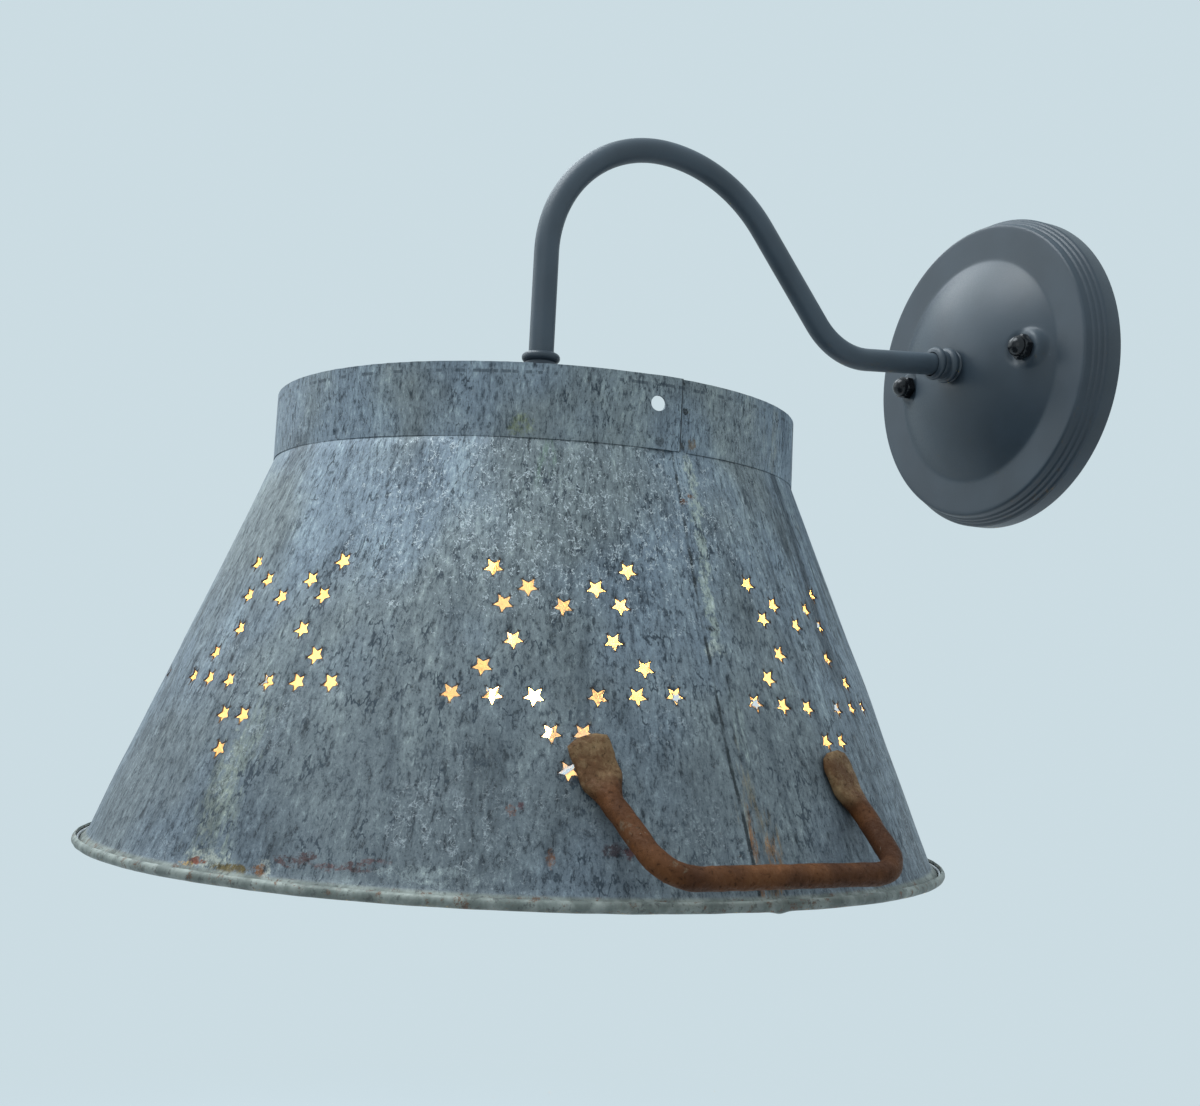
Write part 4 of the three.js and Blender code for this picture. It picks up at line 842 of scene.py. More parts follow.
def make_shade_body():
    """The body's sheet, with marks on its punched edges and its inside."""
    start = FIRST_GROUP + 180 / GROUPS
    fine = [360 + SEAM_ANGLE + (k * SEAM_SPACING) / PER_DEGREE for k in range(-8, 14)]
    turns = [start + SPACING * i for i in range(round(360 / SPACING) + 1)]
    turns = [t for t in turns if not fine[0] - CLEAR_OF_SEAM < t < fine[-1] + CLEAR_OF_SEAM]
    turns = sorted(turns + fine)
    stars = star_places(start)
    holes = [star_ring(star, (STAR, STAR * WAIST), 10) for star in stars]
    grid = []
    for u in [t * PER_DEGREE for t in turns]:
        for v in PATH_AT:
            if all(math.hypot(u - s[0], v - s[1]) > CLEAR_OF_STAR for s in near(stars, v)):
                grid.append((u, v))
    for star in stars:
        grid += star_ring(star, COLLAR, 10) + star_ring(star, (DIMPLE,), 14)
    flat, faces = filled(grid, holes)
    edges = KDTree(10 * len(stars))
    for i, p in enumerate([p for hole in holes for p in hole]):
        edges.insert((*p, 0), i)
    edges.balance()
    punched = [float(edges.find((*p, 0))[2] < AT_EDGE) for p in flat]
    first, last = turns[0] * PER_DEGREE, turns[-1] * PER_DEGREE
    joined = {round(p[1], 4): i for i, p in enumerate(flat) if abs(p[0] - first) < SAME_PLACE}
    same = {i: joined[round(p[1], 4)] for i, p in enumerate(flat) if abs(p[0] - last) < SAME_PLACE}
    faces = [tuple(same.get(i, i) for i in f) for f in faces]

    def skin(side, u, v):
        angle = u / PER_DEGREE
        height = (v - WALL_AT) * math.cos(TAPER) + FLARE
        r, z, nr, nz = on_path(v)
        lift = side * SHEET / 2
        if side < 0:
            lift += THINNED * smooth(v, WALL_AT, WALL_AT + 8)
        if v > WALL_AT - 6:
            lift += sheet_dent(angle, height)
            for s in near(stars, v):
                lift -= DIMPLE_DEPTH * (1 - smooth(math.hypot(u - s[0], v - s[1]), 1.2, 4.8))
            if side > 0:
                lift += seam_rise(angle, height)
        elif v < ROLL_AT:
            lift -= 0.13 * noise.noise(Vector((angle * 0.35, v * 0.2, 0)))
            lift -= 0.55 * math.exp(-(((angle - NOTCH_ANGLE) / 0.9) ** 2))
        return polar(r + nr * lift, angle, z + nz * lift)

    marks = {"punched": punched * 2, "inside": [0.0] * len(flat) + [float(p[1] > WALL_AT - 4) for p in flat]}
    return two_sided(flat, faces, skin), marks


WALL, WALL_MARKS = make_shade_body()
piece("shade_wall", ["shade_body"], WALL, TUB_SHEET, on_shade, 40, WALL_MARKS)


# Foot ring and base
RING_HOLE, RING_HOLE_HEIGHT, RING_HOLE_RADIUS = -1.5, 14.9, 2.5
WELDS = ((-68.2, 2.6), (-1.2, 2.6), (3.9, 2.4), (6.9, 2.9), (112, 2.6), (178, 2.7), (245, 2.5))
RING_ROWS = (0.3, 0.7, 1.4, 4.2, 7.0, 9.8, 12.6, 15.4, 18.2, 21.0, 22.8, 23.6, RING_HEIGHT)
CLEAR_OF_WELD, CLEAR_OF_HOLE = 2.7, 4
WELD_DEPTH, WELD_BURR, RING_STEPS = 0.34, 0.10, 240


def make_foot_ring():
    radius = NECK_RADIUS + GAP + SHEET / 2
    scale = rad(1) * radius
    start, end = RING_SEAM - LAP, RING_SEAM + 360
    turns = [start + (end - start) * i / RING_STEPS for i in range(RING_STEPS + 1)]
    turns = sorted(turns + [start + 356.2 + k * 0.9 for k in range(7)])
    welds = [(((a - start) % 360 + start) * scale, z) for a, z in WELDS]
    hole = ((RING_HOLE + 360) * scale, RING_HOLE_HEIGHT)
    grid = []
    for t in turns:
        for z in RING_ROWS:
            u = t * scale
            edge = z in (RING_ROWS[0], RING_HEIGHT) or t in (turns[0], turns[-1])
            clear = math.hypot(u - hole[0], z - hole[1]) > CLEAR_OF_HOLE
            if edge or clear and all(math.hypot(u - w[0], z - w[1]) > CLEAR_OF_WELD for w in welds):
                grid.append((u, z))
    for weld in welds:
        for r in (0.6, 1.1, 1.6, 2.1):
            grid += [p for p in circle(r, 12, *weld) if p[1] > 0.35]
    grid += circle(3.0, 24, *hole)
    flat, faces = filled(grid, [circle(RING_HOLE_RADIUS, 28, *hole)])

    def skin(side, u, z):
        angle = u / scale
        r = radius + side * SHEET / 2
        r += (SHEET + 0.08) * smooth(angle, end - 9, end - LAP - 0.6)
        r += 0.28 * noise.noise(polar(2.4, angle, z * 0.03))
        for weld in welds:
            off = math.hypot(u - weld[0], z - weld[1])
            raised = WELD_BURR * smooth(off, 1.2, 1.7) * (1 - smooth(off, 1.7, 2.3))
            r -= WELD_DEPTH * (1 - smooth(off, 0.5, 1.9)) - raised
        if z > 23:
            z += 0.12 * noise.noise(Vector((angle * 0.5, 0, 0)))
        return polar(r, angle, z)

    return two_sided(flat, faces, skin)


piece("foot_ring", ["shade_foot_ring"], make_foot_ring(), RING_SHEET, on_shade, 40)

BASE_RADIUS = NECK_RADIUS - SHEET - GAP
SKIRT, SKIRT_LENGTH = 19.5, 26.0
BASE = turned([
    (SKIRT + GAP, 0), (40, 0.25), (70, 0.3), (BASE_RADIUS, 0), (BASE_RADIUS, 6), (BASE_RADIUS - SHEET, 6),
    (BASE_RADIUS - SHEET, SHEET), (70, 0.3 + SHEET), (40, 0.25 + SHEET), (SKIRT + GAP, SHEET),
], 0.6, 160)
piece("tub_base", ["shade_base"], BASE, LEVEL_SHEET, on_shade)
RIM_WIRE = arc(RIM_RADIUS - BEAD, -CONE_HEIGHT, BEAD - SHEET - GAP, 0, 330, 11)
piece("rim_wire_round", ["rim_wire"], lathe(RIM_WIRE, 160), ZINC, on_shade)


# Handles
HANDLES = (("right", HANDLE_ANGLE), ("left", HANDLE_ANGLE + 180))
HANDLE_STEP, HANDLE_SIDES = 1.4, 28
HANDLE_BENDS = (9, 12, 12, 12, 12, 9)
PALM_HALVES = (6.1, 7.1)
PALM_WAY = ((8, 1.8), (-4.5, 1.9), (-13, 4.4))
# Along the bar from its end: the distance, half the width, half the thickness and how square the section is.
PALM_SIZES = (
    (0.0, 3.2, 0.7, 2.6), (0.7, 5.2, 1.2, 2.8), (1.8, 6.4, 1.5, 3.2), (3.6, 6.9, 1.6, 3.4),
    (7.0, 7.0, 1.65, 3.4), (12.5, 6.8, 1.9, 3.0), (15.5, 5.5, 2.5, 2.6), (18.0, 4.3, 3.1, 2.2),
    (20.5, 3.5, 3.4, 2.0), (24.0, 3.4, 3.4, 2.0),
)


def filleted(points, radii, step):
    """A fine line through the points, with each inner corner turned on its radius."""
    line = [points[0]]
    for before, here, after, radius in zip(points, points[1:], points[2:], radii):
        back, on = (before - here).normalized(), (after - here).normalized()
        half = back.angle(on) / 2
        trim = radius / math.tan(half)
        middle = here + (back + on).normalized() * (radius / math.sin(half))
        first, last = here + back * trim - middle, here + on * trim - middle
        count = max(2, int(first.angle(last) * radius / (step * 0.7)))
        line += [middle + swing(first, last, k / count) for k in range(count + 1)]
    line.append(points[-1])
    dense = [line[0]]
    for a, b in zip(line, line[1:]):
        count = max(1, round((b - a).length / step))
        dense += [a.lerp(b, (k + 1) / count) for k in range(count)]
    return dense


def palm_size(s):
    """Half width, half thickness and squareness at a distance s from the nearer end of the bar."""
    s = min(s, PALM_SIZES[-1][0])
    for a, b in zip(PALM_SIZES, PALM_SIZES[1:]):
        if s <= b[0]:
            t = (s - a[0]) / (b[0] - a[0])
            return [x + (y - x) * t for x, y in zip(a[1:], b[1:])]


def palm_path(palm):
    """The bar's way over one palm and off the wall, and the wall's normal there."""
    _, slant, normal, place = palm_frame(*palm[:3])
    return [place + slant * along + normal * lift for along, lift in PALM_WAY], normal


def make_handle(middle):
    """A bent bar with a forged palm at either end, turned to its side of the shade, and the palms' marks."""
    near_end, normal = palm_path(PALMS[0])
    far_end, far_normal = palm_path(PALMS[1])
    corners = [Vector((BAR_RADIUS, palm[3], BAR_HEIGHT - CONE_HEIGHT)) for palm in PALMS]
    path = filleted(near_end + corners + far_end[::-1], HANDLE_BENDS, HANDLE_STEP)
    length = [0.0]
    for a, b in zip(path, path[1:]):
        length.append(length[-1] + (b - a).length)
    from_end = [min(s, length[-1] - s) for s in length]
    along, out = list(frames(path, normal))[-1]
    twist = math.atan2(far_normal.dot(along.cross(out)), far_normal.dot(out))

    def section(i):
        wide, thick, power = palm_size(from_end[i])
        wide = min(wide, PALM_HALVES[length[i] > length[-1] / 2])
        turn = twist * smooth(length[i] / length[-1], 0.3, 0.7)
        c_turn, s_turn = math.cos(turn), math.sin(turn)
        points = []
        for a in turns_of(HANDLE_SIDES, 0.5):
            c, s = math.cos(a), math.sin(a)
            reach = (abs(c) ** power + abs(s) ** power) ** (-1 / power)
            place = path[i] + Vector((c * 4, s * 4, middle))
            lump = 1 + 0.07 * noise.noise(place * 0.22) + 0.035 * noise.noise(place * 0.7)
            across, out = wide * c * reach * lump, thick * s * reach * lump
            points.append((across * c_turn + out * s_turn, out * c_turn - across * s_turn))
        return points

    points, faces, _ = sweep(path, section, True, normal)
    turn = about_z(middle)
    palms = [1 - smooth(s, 12, 20) for s in from_end for _ in range(HANDLE_SIDES)]
    return ([turn @ p for p in points], faces), {"palm": palms}


for side_name, at in HANDLES:
    shape, marks = make_handle(at)
    piece(f"handle_bar_{side_name}", [f"handle_{side_name}"], shape, RUST, on_shade, 60, marks)

RIVET_TOP = -SHEET - 0.37 - GAP
RIVET = turned([
    (0, RIVET_TOP - 2.2), (2.4, RIVET_TOP - 1.9), (4, RIVET_TOP - 0.4), (4, RIVET_TOP), (2, RIVET_TOP),
    (2, 2.6), (0, 2.6),
], 0.5, 28)
for side_name, at in HANDLES:
    for i, palm in enumerate(PALMS):
        across, slant, normal, place = palm_frame(*palm[:3], at)
        points = [place + across * p[0] + slant * p[1] + normal * p[2] for p in RIVET[0]]
        end = f"{side_name}_{i + 1}"
        piece(f"rivet_{end}", [f"handle_rivet_{end}"], (points, RIVET[1]), RUST, on_shade)


# Arm: one bent tube, followed in small steps along its route
PLATE_DEPTH, DOME_RADIUS, DOME_HEIGHT, SEAT_RADIUS = 16.0, 49.3, 14.1, 9.6
FERRULE_LENGTH, FERRULE_CHAMFER = 11.5, 0.3
FERRULE_MIDDLE = PLATE_DEPTH + DOME_HEIGHT + GAP + FERRULE_LENGTH / 2
ARCH_RISE = 64.8
ARM_SLOPE, LOWER_BEND, WALL_BEND, SHADE_BEND, ARM_TAIL = 50.4, 31.0, 61.8, 50.0, 17.0
ARM_STEP = 2.0
HOLDER_TOP, CAP_RIM = 25.0, 1.2
ARM_END = HOLDER_TOP + 2 * GAP + CAP_RIM
LOOSE_BORE = ARM_RADIUS + GAP + (FERRULE_LENGTH / 2 + GAP + 1) * math.tan(rad(ARM_LEAN))
CLOSE_BORE = ARM_RADIUS + GAP


def arm_route():
    """The arm's middle line, from its end behind the plate to its end in the lamp holder."""
    lean, slope = rad(ARM_LEAN), rad(ARM_SLOPE)
    bends_reach = LOWER_BEND * (math.sin(slope) + math.sin(lean)) + WALL_BEND * math.sin(slope) + SHADE_BEND
    bends_rise = LOWER_BEND * (math.cos(lean) - math.cos(slope)) + WALL_BEND * (1 - math.cos(slope))
    reach, rise = REACH - FERRULE_MIDDLE - bends_reach, ARCH_RISE - bends_rise
    span = math.sin(slope + lean)
    low_run = (reach * math.sin(slope) - rise * math.cos(slope)) / span
    slope_run = (reach * math.sin(lean) + rise * math.cos(lean)) / span
    end_run = ARCH_RISE - SHADE_BEND + SHADE_DROP - ARM_END
    stretches = (
        (ARM_TAIL + low_run, 0), (LOWER_BEND * (lean + slope), lean + slope), (slope_run, 0),
        (WALL_BEND * slope, -slope), (SHADE_BEND * math.pi / 2, -math.pi / 2), (end_run, 0),
    )
    out, up, heading = FERRULE_MIDDLE - ARM_TAIL * math.cos(lean), ARM_TAIL * math.sin(lean), -lean
    points = [Vector((0, -out, up))]
    for length, turn in stretches:
        count = math.ceil(length / ARM_STEP)
        part = turn / count
        chord = length / count * (math.sin(part / 2) / (part / 2) if turn else 1)
        for _ in range(count):
            out += chord * math.cos(heading + part / 2)
            up += chord * math.sin(heading + part / 2)
            heading += part
            points.append(Vector((0, -out, up)))
    return points


ROUTE = arm_route()
piece("arm", ["arm_tube"], tube(ROUTE, ARM_RADIUS, 48, ARM_BORE), ARM_LIT_CHARCOAL)

# Wall plate: stepped side, flat face, dome with a flat seat for the arm and two nut pockets
PLATE_RADIUS, FACE_EDGE, PLATE_SHEET, PLATE_SIDES = 69.2, 63.0, 1.0, 144
PLATE_STEPS = [
    (65.9, 12.9), (66.75, 12.3), (66.9, 10.75), (67.75, 10.15), (67.9, 8.6), (68.7, 8.0), (PLATE_RADIUS, 7.2),
]
DOME_SPHERE = (DOME_RADIUS ** 2 + DOME_HEIGHT ** 2) / (2 * DOME_HEIGHT)
NUT_SPACING, NUT_TURN, POCKET_RADIUS, POCKET_SEAT = 75.6, 4.0, 6.8, 22.6
STUD_RADIUS = 2.4
STUD_BORE = STUD_RADIUS + GAP
CLEAR_OF_NUT = 10.2
NUTS = {
    side_name: Vector((side * math.cos(rad(NUT_TURN)), side * math.sin(rad(NUT_TURN)))) * NUT_SPACING / 2
    for side_name, side in (("left", -1), ("right", 1))
}


def dome_depth(radius):
    return PLATE_DEPTH + DOME_HEIGHT - DOME_SPHERE + math.sqrt(DOME_SPHERE ** 2 - radius ** 2)


PLATE_SEAT = dome_depth(SEAT_RADIUS)


def soft_max(a, b, soft):
    return (a + b + math.sqrt((a - b) ** 2 + soft ** 2)) / 2


def face_depth(x, y):
    """How far the plate's face stands off the wall."""
    dome = -soft_max(-dome_depth(math.hypot(x, y)), -PLATE_SEAT, 0.08)
    depth = soft_max(dome, PLATE_DEPTH, 0.35)
    for nut in NUTS.values():
        off = math.hypot(x - nut.x, y - nut.y)
        depth += (POCKET_SEAT - depth) * (1 - smooth(off, POCKET_RADIUS - 0.7, POCKET_RADIUS + 2.6))
    return depth


def make_wall_plate():
    grid = circle(FACE_EDGE, PLATE_SIDES)
    radii = [6.6, 7.6, 8.6, 9.3, 9.9, 11] + [13 + 2.35 * i for i in range(15)]
    radii += [47.6, 48.5, 49.0, 49.4, 49.8, 50.4, 51.4, 54, 58]
    for i, r in enumerate(radii):
        sides = 48 if r < 12 else 112
        for a in turns_of(sides, 0.5 * (i % 2)):
            p = Vector((r * math.cos(a), r * math.sin(a)))
            if all((p - nut).length > CLEAR_OF_NUT for nut in NUTS.values()):
                grid.append(tuple(p))
    holes = [circle(LOOSE_BORE, 40)]
    for nut in NUTS.values():
        holes.append(circle(STUD_BORE, 20, *nut))
        for r in (3.6, 4.8, 5.8, 6.6, 7.4, 8.2, 9.0, 9.7):
            grid += circle(r, 36, *nut)
    flat, faces = filled(grid, holes)

    def skin(side, x, y):
        return Vector((x, y, face_depth(x, y) - (PLATE_SHEET if side < 0 else 0)))

    face = face_depth(FACE_EDGE, 0)
    outside = [(FACE_EDGE, face)] + arc(64.0, face - 1.5, 1.5, 84, 12, 6) + PLATE_STEPS + [(PLATE_RADIUS, 0)]
    inside = [(68.2, 0), (67.9, 7), (66.6, 9.4), (64.7, 12.6), (64.0, 14.6), (FACE_EDGE, face - PLATE_SHEET)]
    rim = lathe(rounded(outside + inside, 0.45, 4, False), PLATE_SIDES, None, False)
    return together(two_sided(flat, faces, skin, FACE_EDGE - 0.01), rim)


piece("plate", ["wall_plate"], make_wall_plate(), CHARCOAL, out_from_wall, 40)


# Ferrules, nuts, washer and crossbar
def ferrule(bore):
    bead, nose = FERRULE_LENGTH * 0.21, FERRULE_LENGTH * 0.17
    outline = [(bore, 0), (6.9, 0)]
    outline += arc(7.8 - bead * 0.95, bead * 1.25, bead * 0.95, -72, 72, 10)
    outline += [(6.3, FERRULE_LENGTH - 2.3 * nose)]
    outline += arc(7.3 - nose * 0.95, FERRULE_LENGTH - nose, nose * 0.95, -72, 72, 8)
    outline += [(bore + FERRULE_CHAMFER, FERRULE_LENGTH), (bore, FERRULE_LENGTH - FERRULE_CHAMFER)]
    return lathe(outline, 64)


def plate_ferrule():
    """The ferrule on the plate, with its bore following the leaning arm."""
    points, faces = ferrule(CLOSE_BORE)

    def leaning(x, y, z):
        in_bore = math.hypot(x, y) < CLOSE_BORE + FERRULE_CHAMFER + 0.01
        lift = (FERRULE_LENGTH / 2 - z) * math.tan(rad(ARM_LEAN)) if in_bore else 0
        return x, y + lift, z

    return [leaning(*p) for p in points], faces


def lifted(shape, height, turn=0.0):
    spin = about_z(turn)
    return moved(shape, lambda p: spin @ p + Vector((0, 0, height)))


def over_corners(flats):
    """Half of a hexagon's width over its corners."""
    return flats / math.sqrt(3)


def hexagon(flats, flat_from):
    """A lathe shape that cuts what lies outside flat_from to a hexagon."""
    def shape(radius, height, angle):
        side = ((angle + rad(30)) % rad(60)) - rad(30)
        return min(radius, flats / 2 / math.cos(side)) if radius > flat_from else radius
    return shape


def hex_nut(bore):
    corner, flank = over_corners(NUT_FLATS), NUT_FLATS / 2 * 0.97
    outline = [
        (bore, 0.5), (bore + 0.5, 0), (flank, 0), (corner, 0.45), (corner, NUT_THICKNESS - 0.45),
        (flank, NUT_THICKNESS), (bore + 0.5, NUT_THICKNESS), (bore, NUT_THICKNESS - 0.5),
    ]
    return lathe(outline, 72, hexagon(NUT_FLATS, NUT_FLATS / 2 * 0.98))


def arm_height(out):
    return (FERRULE_MIDDLE - out) * math.tan(rad(ARM_LEAN))


def on_arm_tail(out):
    return lambda p: out_from_wall(p) + Vector((0, 0, arm_height(out)))


CUP_TOP, CUP_SHEET = 37.5, 1.0
WASHER_RADIUS, WASHER, NUT_FLATS, NUT_THICKNESS = 9.0, 0.9, 15.0, 3.2
WASHER_LOW = PLATE_SEAT - PLATE_SHEET - GAP - WASHER
NUT_LOW = WASHER_LOW - GAP - NUT_THICKNESS
NUT_MIDDLE = NUT_LOW + NUT_THICKNESS / 2
CUP_NUT_LOW = CUP_TOP - CUP_SHEET - GAP - NUT_THICKNESS
DISC = turned([(LOOSE_BORE, 0), (WASHER_RADIUS, 0), (WASHER_RADIUS, WASHER), (LOOSE_BORE, WASHER)], 0.2, 64)
for name, node, shape, low, coat, place in (
    ("ferrule_plate", "plate_ferrule", plate_ferrule(), PLATE_SEAT + GAP, CHARCOAL, out_from_wall),
    ("ferrule_cup", "cup_ferrule", ferrule(CLOSE_BORE), CUP_TOP + GAP, CHARCOAL, on_shade),
    ("washer", "plate_lock_washer", DISC, WASHER_LOW, ZINC, on_arm_tail(WASHER_LOW)),
    ("lock_nut_plate", "plate_lock_nut", hex_nut(LOOSE_BORE), NUT_LOW, ZINC, on_arm_tail(NUT_MIDDLE)),
    ("lock_nut_cup", "cup_lock_nut", hex_nut(CLOSE_BORE), CUP_NUT_LOW, ZINC, on_shade),
):
    piece(name, [node], lifted(shape, low), coat, place)

BAR_LENGTH, BAR_WIDTH, BAR_THICK = 96.0, 16.0, 2.0
SLOT_LENGTH, SLOT_WIDTH, SLOT_MIDDLE = 10.0, 4.6, 24.0
GROUND_PLACE, GROUND_SHANK = 14.5, 1.8


def stadium(length, width, middle=0.0, steps=12):
    half = (length - width) / 2
    right = arc(middle + half, 0, width / 2, -90, 90, steps)
    return right + arc(middle - half, 0, width / 2, 90, 270, steps)


def make_crossbar():
    bores = ((-NUT_SPACING / 2, STUD_BORE), (NUT_SPACING / 2, STUD_BORE), (GROUND_PLACE, GROUND_SHANK + GAP))
    holes = [circle(r, 24, at) for at, r in bores]
    holes += [stadium(SLOT_LENGTH, SLOT_WIDTH, at) for at in (-SLOT_MIDDLE, SLOT_MIDDLE)]
    edge = stadium(BAR_LENGTH, BAR_WIDTH, 0, 24)
    rim = stadium(BAR_LENGTH - 0.7, BAR_WIDTH - 0.7, 0, 24)
    middle = [(x, y) for x in range(-38, 39, 4) for y in (-5, 0, 5)]
    flat, faces = filled(edge + rim + middle, holes)
    spin = about_z(NUT_TURN)

    def skin(side, x, y):
        out = abs(x) - (BAR_LENGTH - BAR_WIDTH) / 2
        inset = BAR_WIDTH / 2 - (math.hypot(out, y) if out > 0 else abs(y))
        depth = BAR_THICK / 2 + side * (BAR_THICK / 2 - 0.3 * (1 - min(1, inset / 0.35)))
        return spin @ Vector((x, y, depth))

    return two_sided(flat, faces, skin)


piece("mounting_bar", ["crossbar"], make_crossbar(), ZINC, out_from_wall)

CAP_NUT_FLATS, CAP_NUT_HEX, CAP_NUT_DOME, CAP_NUT_THREAD = 9.5, 3.8, 4.0, 4.2
CAP_NUT_TURNS = {"left": 17, "right": 40}
STUD_PITCH, STUD_THREAD = 0.7, 0.22


def make_stud():
    low, high = GAP, POCKET_SEAT + CAP_NUT_THREAD
    root = STUD_RADIUS - STUD_THREAD
    count = int((high - low) / (STUD_PITCH / 2))
    outline = [(0, low), (root, low)]
    for i in range(1, count):
        outline.append((root if i % 2 else STUD_RADIUS, low + (high - low) * i / count))
    return lathe(outline + [(root, high), (0, high)], 24)


def make_cap_nut():
    corner, foot = over_corners(CAP_NUT_FLATS), 0.925 * CAP_NUT_FLATS / 2
    flank = CAP_NUT_FLATS / 2 * 0.98
    turn = [rad(a) for a in range(6, 90, 7)]
    crown = [(foot * math.cos(a), CAP_NUT_HEX + CAP_NUT_DOME * math.sin(a)) for a in turn]
    outline = [
        (STUD_BORE, 0), (flank, 0), (corner, 0.35), (corner, CAP_NUT_HEX - 0.5), (flank, CAP_NUT_HEX),
        (foot, CAP_NUT_HEX), *crown, (0, CAP_NUT_HEX + CAP_NUT_DOME), (0, CAP_NUT_THREAD),
        (STUD_BORE, CAP_NUT_THREAD),
    ]
    return lathe(outline, 72, hexagon(CAP_NUT_FLATS, CAP_NUT_FLATS / 2 * 0.985))


def beside_wall(place):
    return lambda p: out_from_wall(p + Vector((place.x, place.y, 0)))


for side_name, nut in NUTS.items():
    piece(f"stud_{side_name}", [f"plate_stud_{side_name}"], make_stud(), ZINC, beside_wall(nut))
    acorn = lifted(make_cap_nut(), POCKET_SEAT + GAP, CAP_NUT_TURNS[side_name])
    piece(f"acorn_nut_{side_name}", [f"cap_nut_{side_name}"], acorn, BLACK_NUT, beside_wall(nut), 28)

# Wiring: two leads through the arm, their wire nuts, and the ground lead with its screw
LEAD_RADIUS, LEAD_SPREAD, LEAD_DEPTH = 0.9, 1.5, 4.0
WIRE_NUT_LENGTH, WIRE_NUT_MOUTH, WIRE_NUT_TIP = 18.0, 4.6, 3.0
WIRE_NUT = Vector((18, -10, 17))
GROUND = Vector((math.cos(rad(NUT_TURN)), math.sin(rad(NUT_TURN)))) * GROUND_PLACE


def lead_path(side):
    x, y, z = WIRE_NUT
    aside = Vector((side * LEAD_SPREAD, 0, 0))
    splice = curve_through([
        Vector((side * (x + WIRE_NUT_LENGTH * 0.45), y, z)), Vector((side * (x - 1.5), y, z)),
        Vector((side * x * 0.55, y, z * 0.72)), Vector((side * (LEAD_SPREAD + 1.6), y - 1.5, z * 0.25)),
        ROUTE[0] + aside,
    ], 8)
    through = [p + aside for p in ROUTE[1:]]
    through.append(through[-1] + Vector((0, 0, HOLDER_TOP + GAP - LEAD_DEPTH - ARM_END)))
    return splice + through


def make_wire_nut(side):
    bore, blind = LEAD_RADIUS + 2 * GAP, WIRE_NUT_LENGTH * 0.45 + 1.2

    def flutes(radius, height, angle):
        fluted = radius > 2.2 and height > 3.4
        return radius * (1 - 0.05 * (0.5 + 0.5 * math.cos(12 * angle))) if fluted else radius

    nut = turned([
        (bore, 0), (WIRE_NUT_MOUTH, 0), (WIRE_NUT_MOUTH, 3), (WIRE_NUT_MOUTH - 0.5, 3.6), (WIRE_NUT_TIP, 17),
        (WIRE_NUT_TIP - 1, WIRE_NUT_LENGTH), (0, WIRE_NUT_LENGTH), (0, blind), (bore, blind),
    ], 0.4, 72, flutes)
    turn = Matrix.Rotation(side * math.pi / 2, 3, "Y")
    return moved(nut, lambda p: turn @ p + Vector((side * WIRE_NUT.x, WIRE_NUT.y, WIRE_NUT.z)))


for wire, side, coat in (("live", -1, BLACK_WIRE), ("neutral", 1, WHITE_WIRE)):
    piece(f"{wire}_wire", [f"{wire}_lead"], tube(lead_path(side), LEAD_RADIUS, 14), coat)
    piece(f"{wire}_nut", [f"wire_nut_{wire}"], make_wire_nut(side), ORANGE)


def ground_path():
    out = BAR_THICK + GAP + LEAD_RADIUS
    under_shank = GROUND.y - GROUND_SHANK - LEAD_RADIUS - 1.5 * GAP
    under_nut = arm_height(NUT_LOW) - over_corners(NUT_FLATS) - LEAD_RADIUS - GAP
    return curve_through([
        Vector((GROUND.x - 3, -out, under_shank)), Vector((GROUND.x + 2, -out - 0.2, under_shank)),
        Vector((GROUND.x + 5, -out - 4, under_shank - 4)), Vector((GROUND.x - 2, -out - 10, under_nut - 4.3)),
        Vector((2.5, 3.1 - NUT_MIDDLE, under_nut - 2.8)), Vector((0, -NUT_MIDDLE, under_nut)),
    ], 10)


def make_ground_screw():
    low, head = BAR_THICK + 2 * GAP + 2 * LEAD_RADIUS, 2 * GROUND_SHANK
    outline = [
        (0, GAP), (GROUND_SHANK, GAP), (GROUND_SHANK, low), (head, low), (head, low + 0.5),
        (head * 0.82, low + 0.7), (head * 0.82, low + 1.8), (head * 0.7, low + 2.1), (0, low + 2.1),
    ]
    return lathe(outline, 60)


piece("ground_wire", ["ground_lead"], tube(ground_path(), LEAD_RADIUS, 14), GREEN_WIRE)
piece("ground_terminal", ["ground_screw"], make_ground_screw(), GREEN_STEEL, beside_wall(GROUND))

# Lamp holder: cup over the base, cap, moulding with its screw shell and contact, clamp ring
CUP_RADIUS, CUP_SHOULDER, CUP_TOP_RADIUS = 29.0, 24.0, 11.0
HOLDER_RADIUS, FLANGE_RADIUS, FLANGE = 17.5, 23.0, 3.0
CAVITY_TOP = -1.0
BULB_BASE, THREAD_PITCH = 13.1, 3.6
SHELL_RADIUS, SHELL_SHEET = BULB_BASE + GAP + 0.1, 0.4
CONTACT_DEPTH, CONTACT_RADIUS = 3.6, 3.4
CLAMP_RADIUS, CLAMP = 27.0, 4.0
ON_BASE = SHEET + GAP
CAP_LOW = HOLDER_TOP + GAP
CAP_TOP = CAP_LOW + CAP_RIM
CAP_EYE = LEAD_SPREAD + LEAD_RADIUS + 2 * GAP
HUB_RADIUS, HUB = 8.2, 4.0


def make_cup():
    def crown(thin):
        wide, tall = CUP_RADIUS - thin - CUP_TOP_RADIUS, CUP_TOP - thin - CUP_SHOULDER
        steps = [rad(90 * i / 14) for i in range(15)]
        return [(CUP_TOP_RADIUS + wide * math.cos(a), CUP_SHOULDER + tall * math.sin(a)) for a in steps]

    outline = [(CUP_RADIUS, ON_BASE), *crown(0), (CLOSE_BORE, CUP_TOP), (CLOSE_BORE, CUP_TOP - CUP_SHEET)]
    return lathe(outline + crown(CUP_SHEET)[::-1] + [(CUP_RADIUS - CUP_SHEET, ON_BASE)], 96)


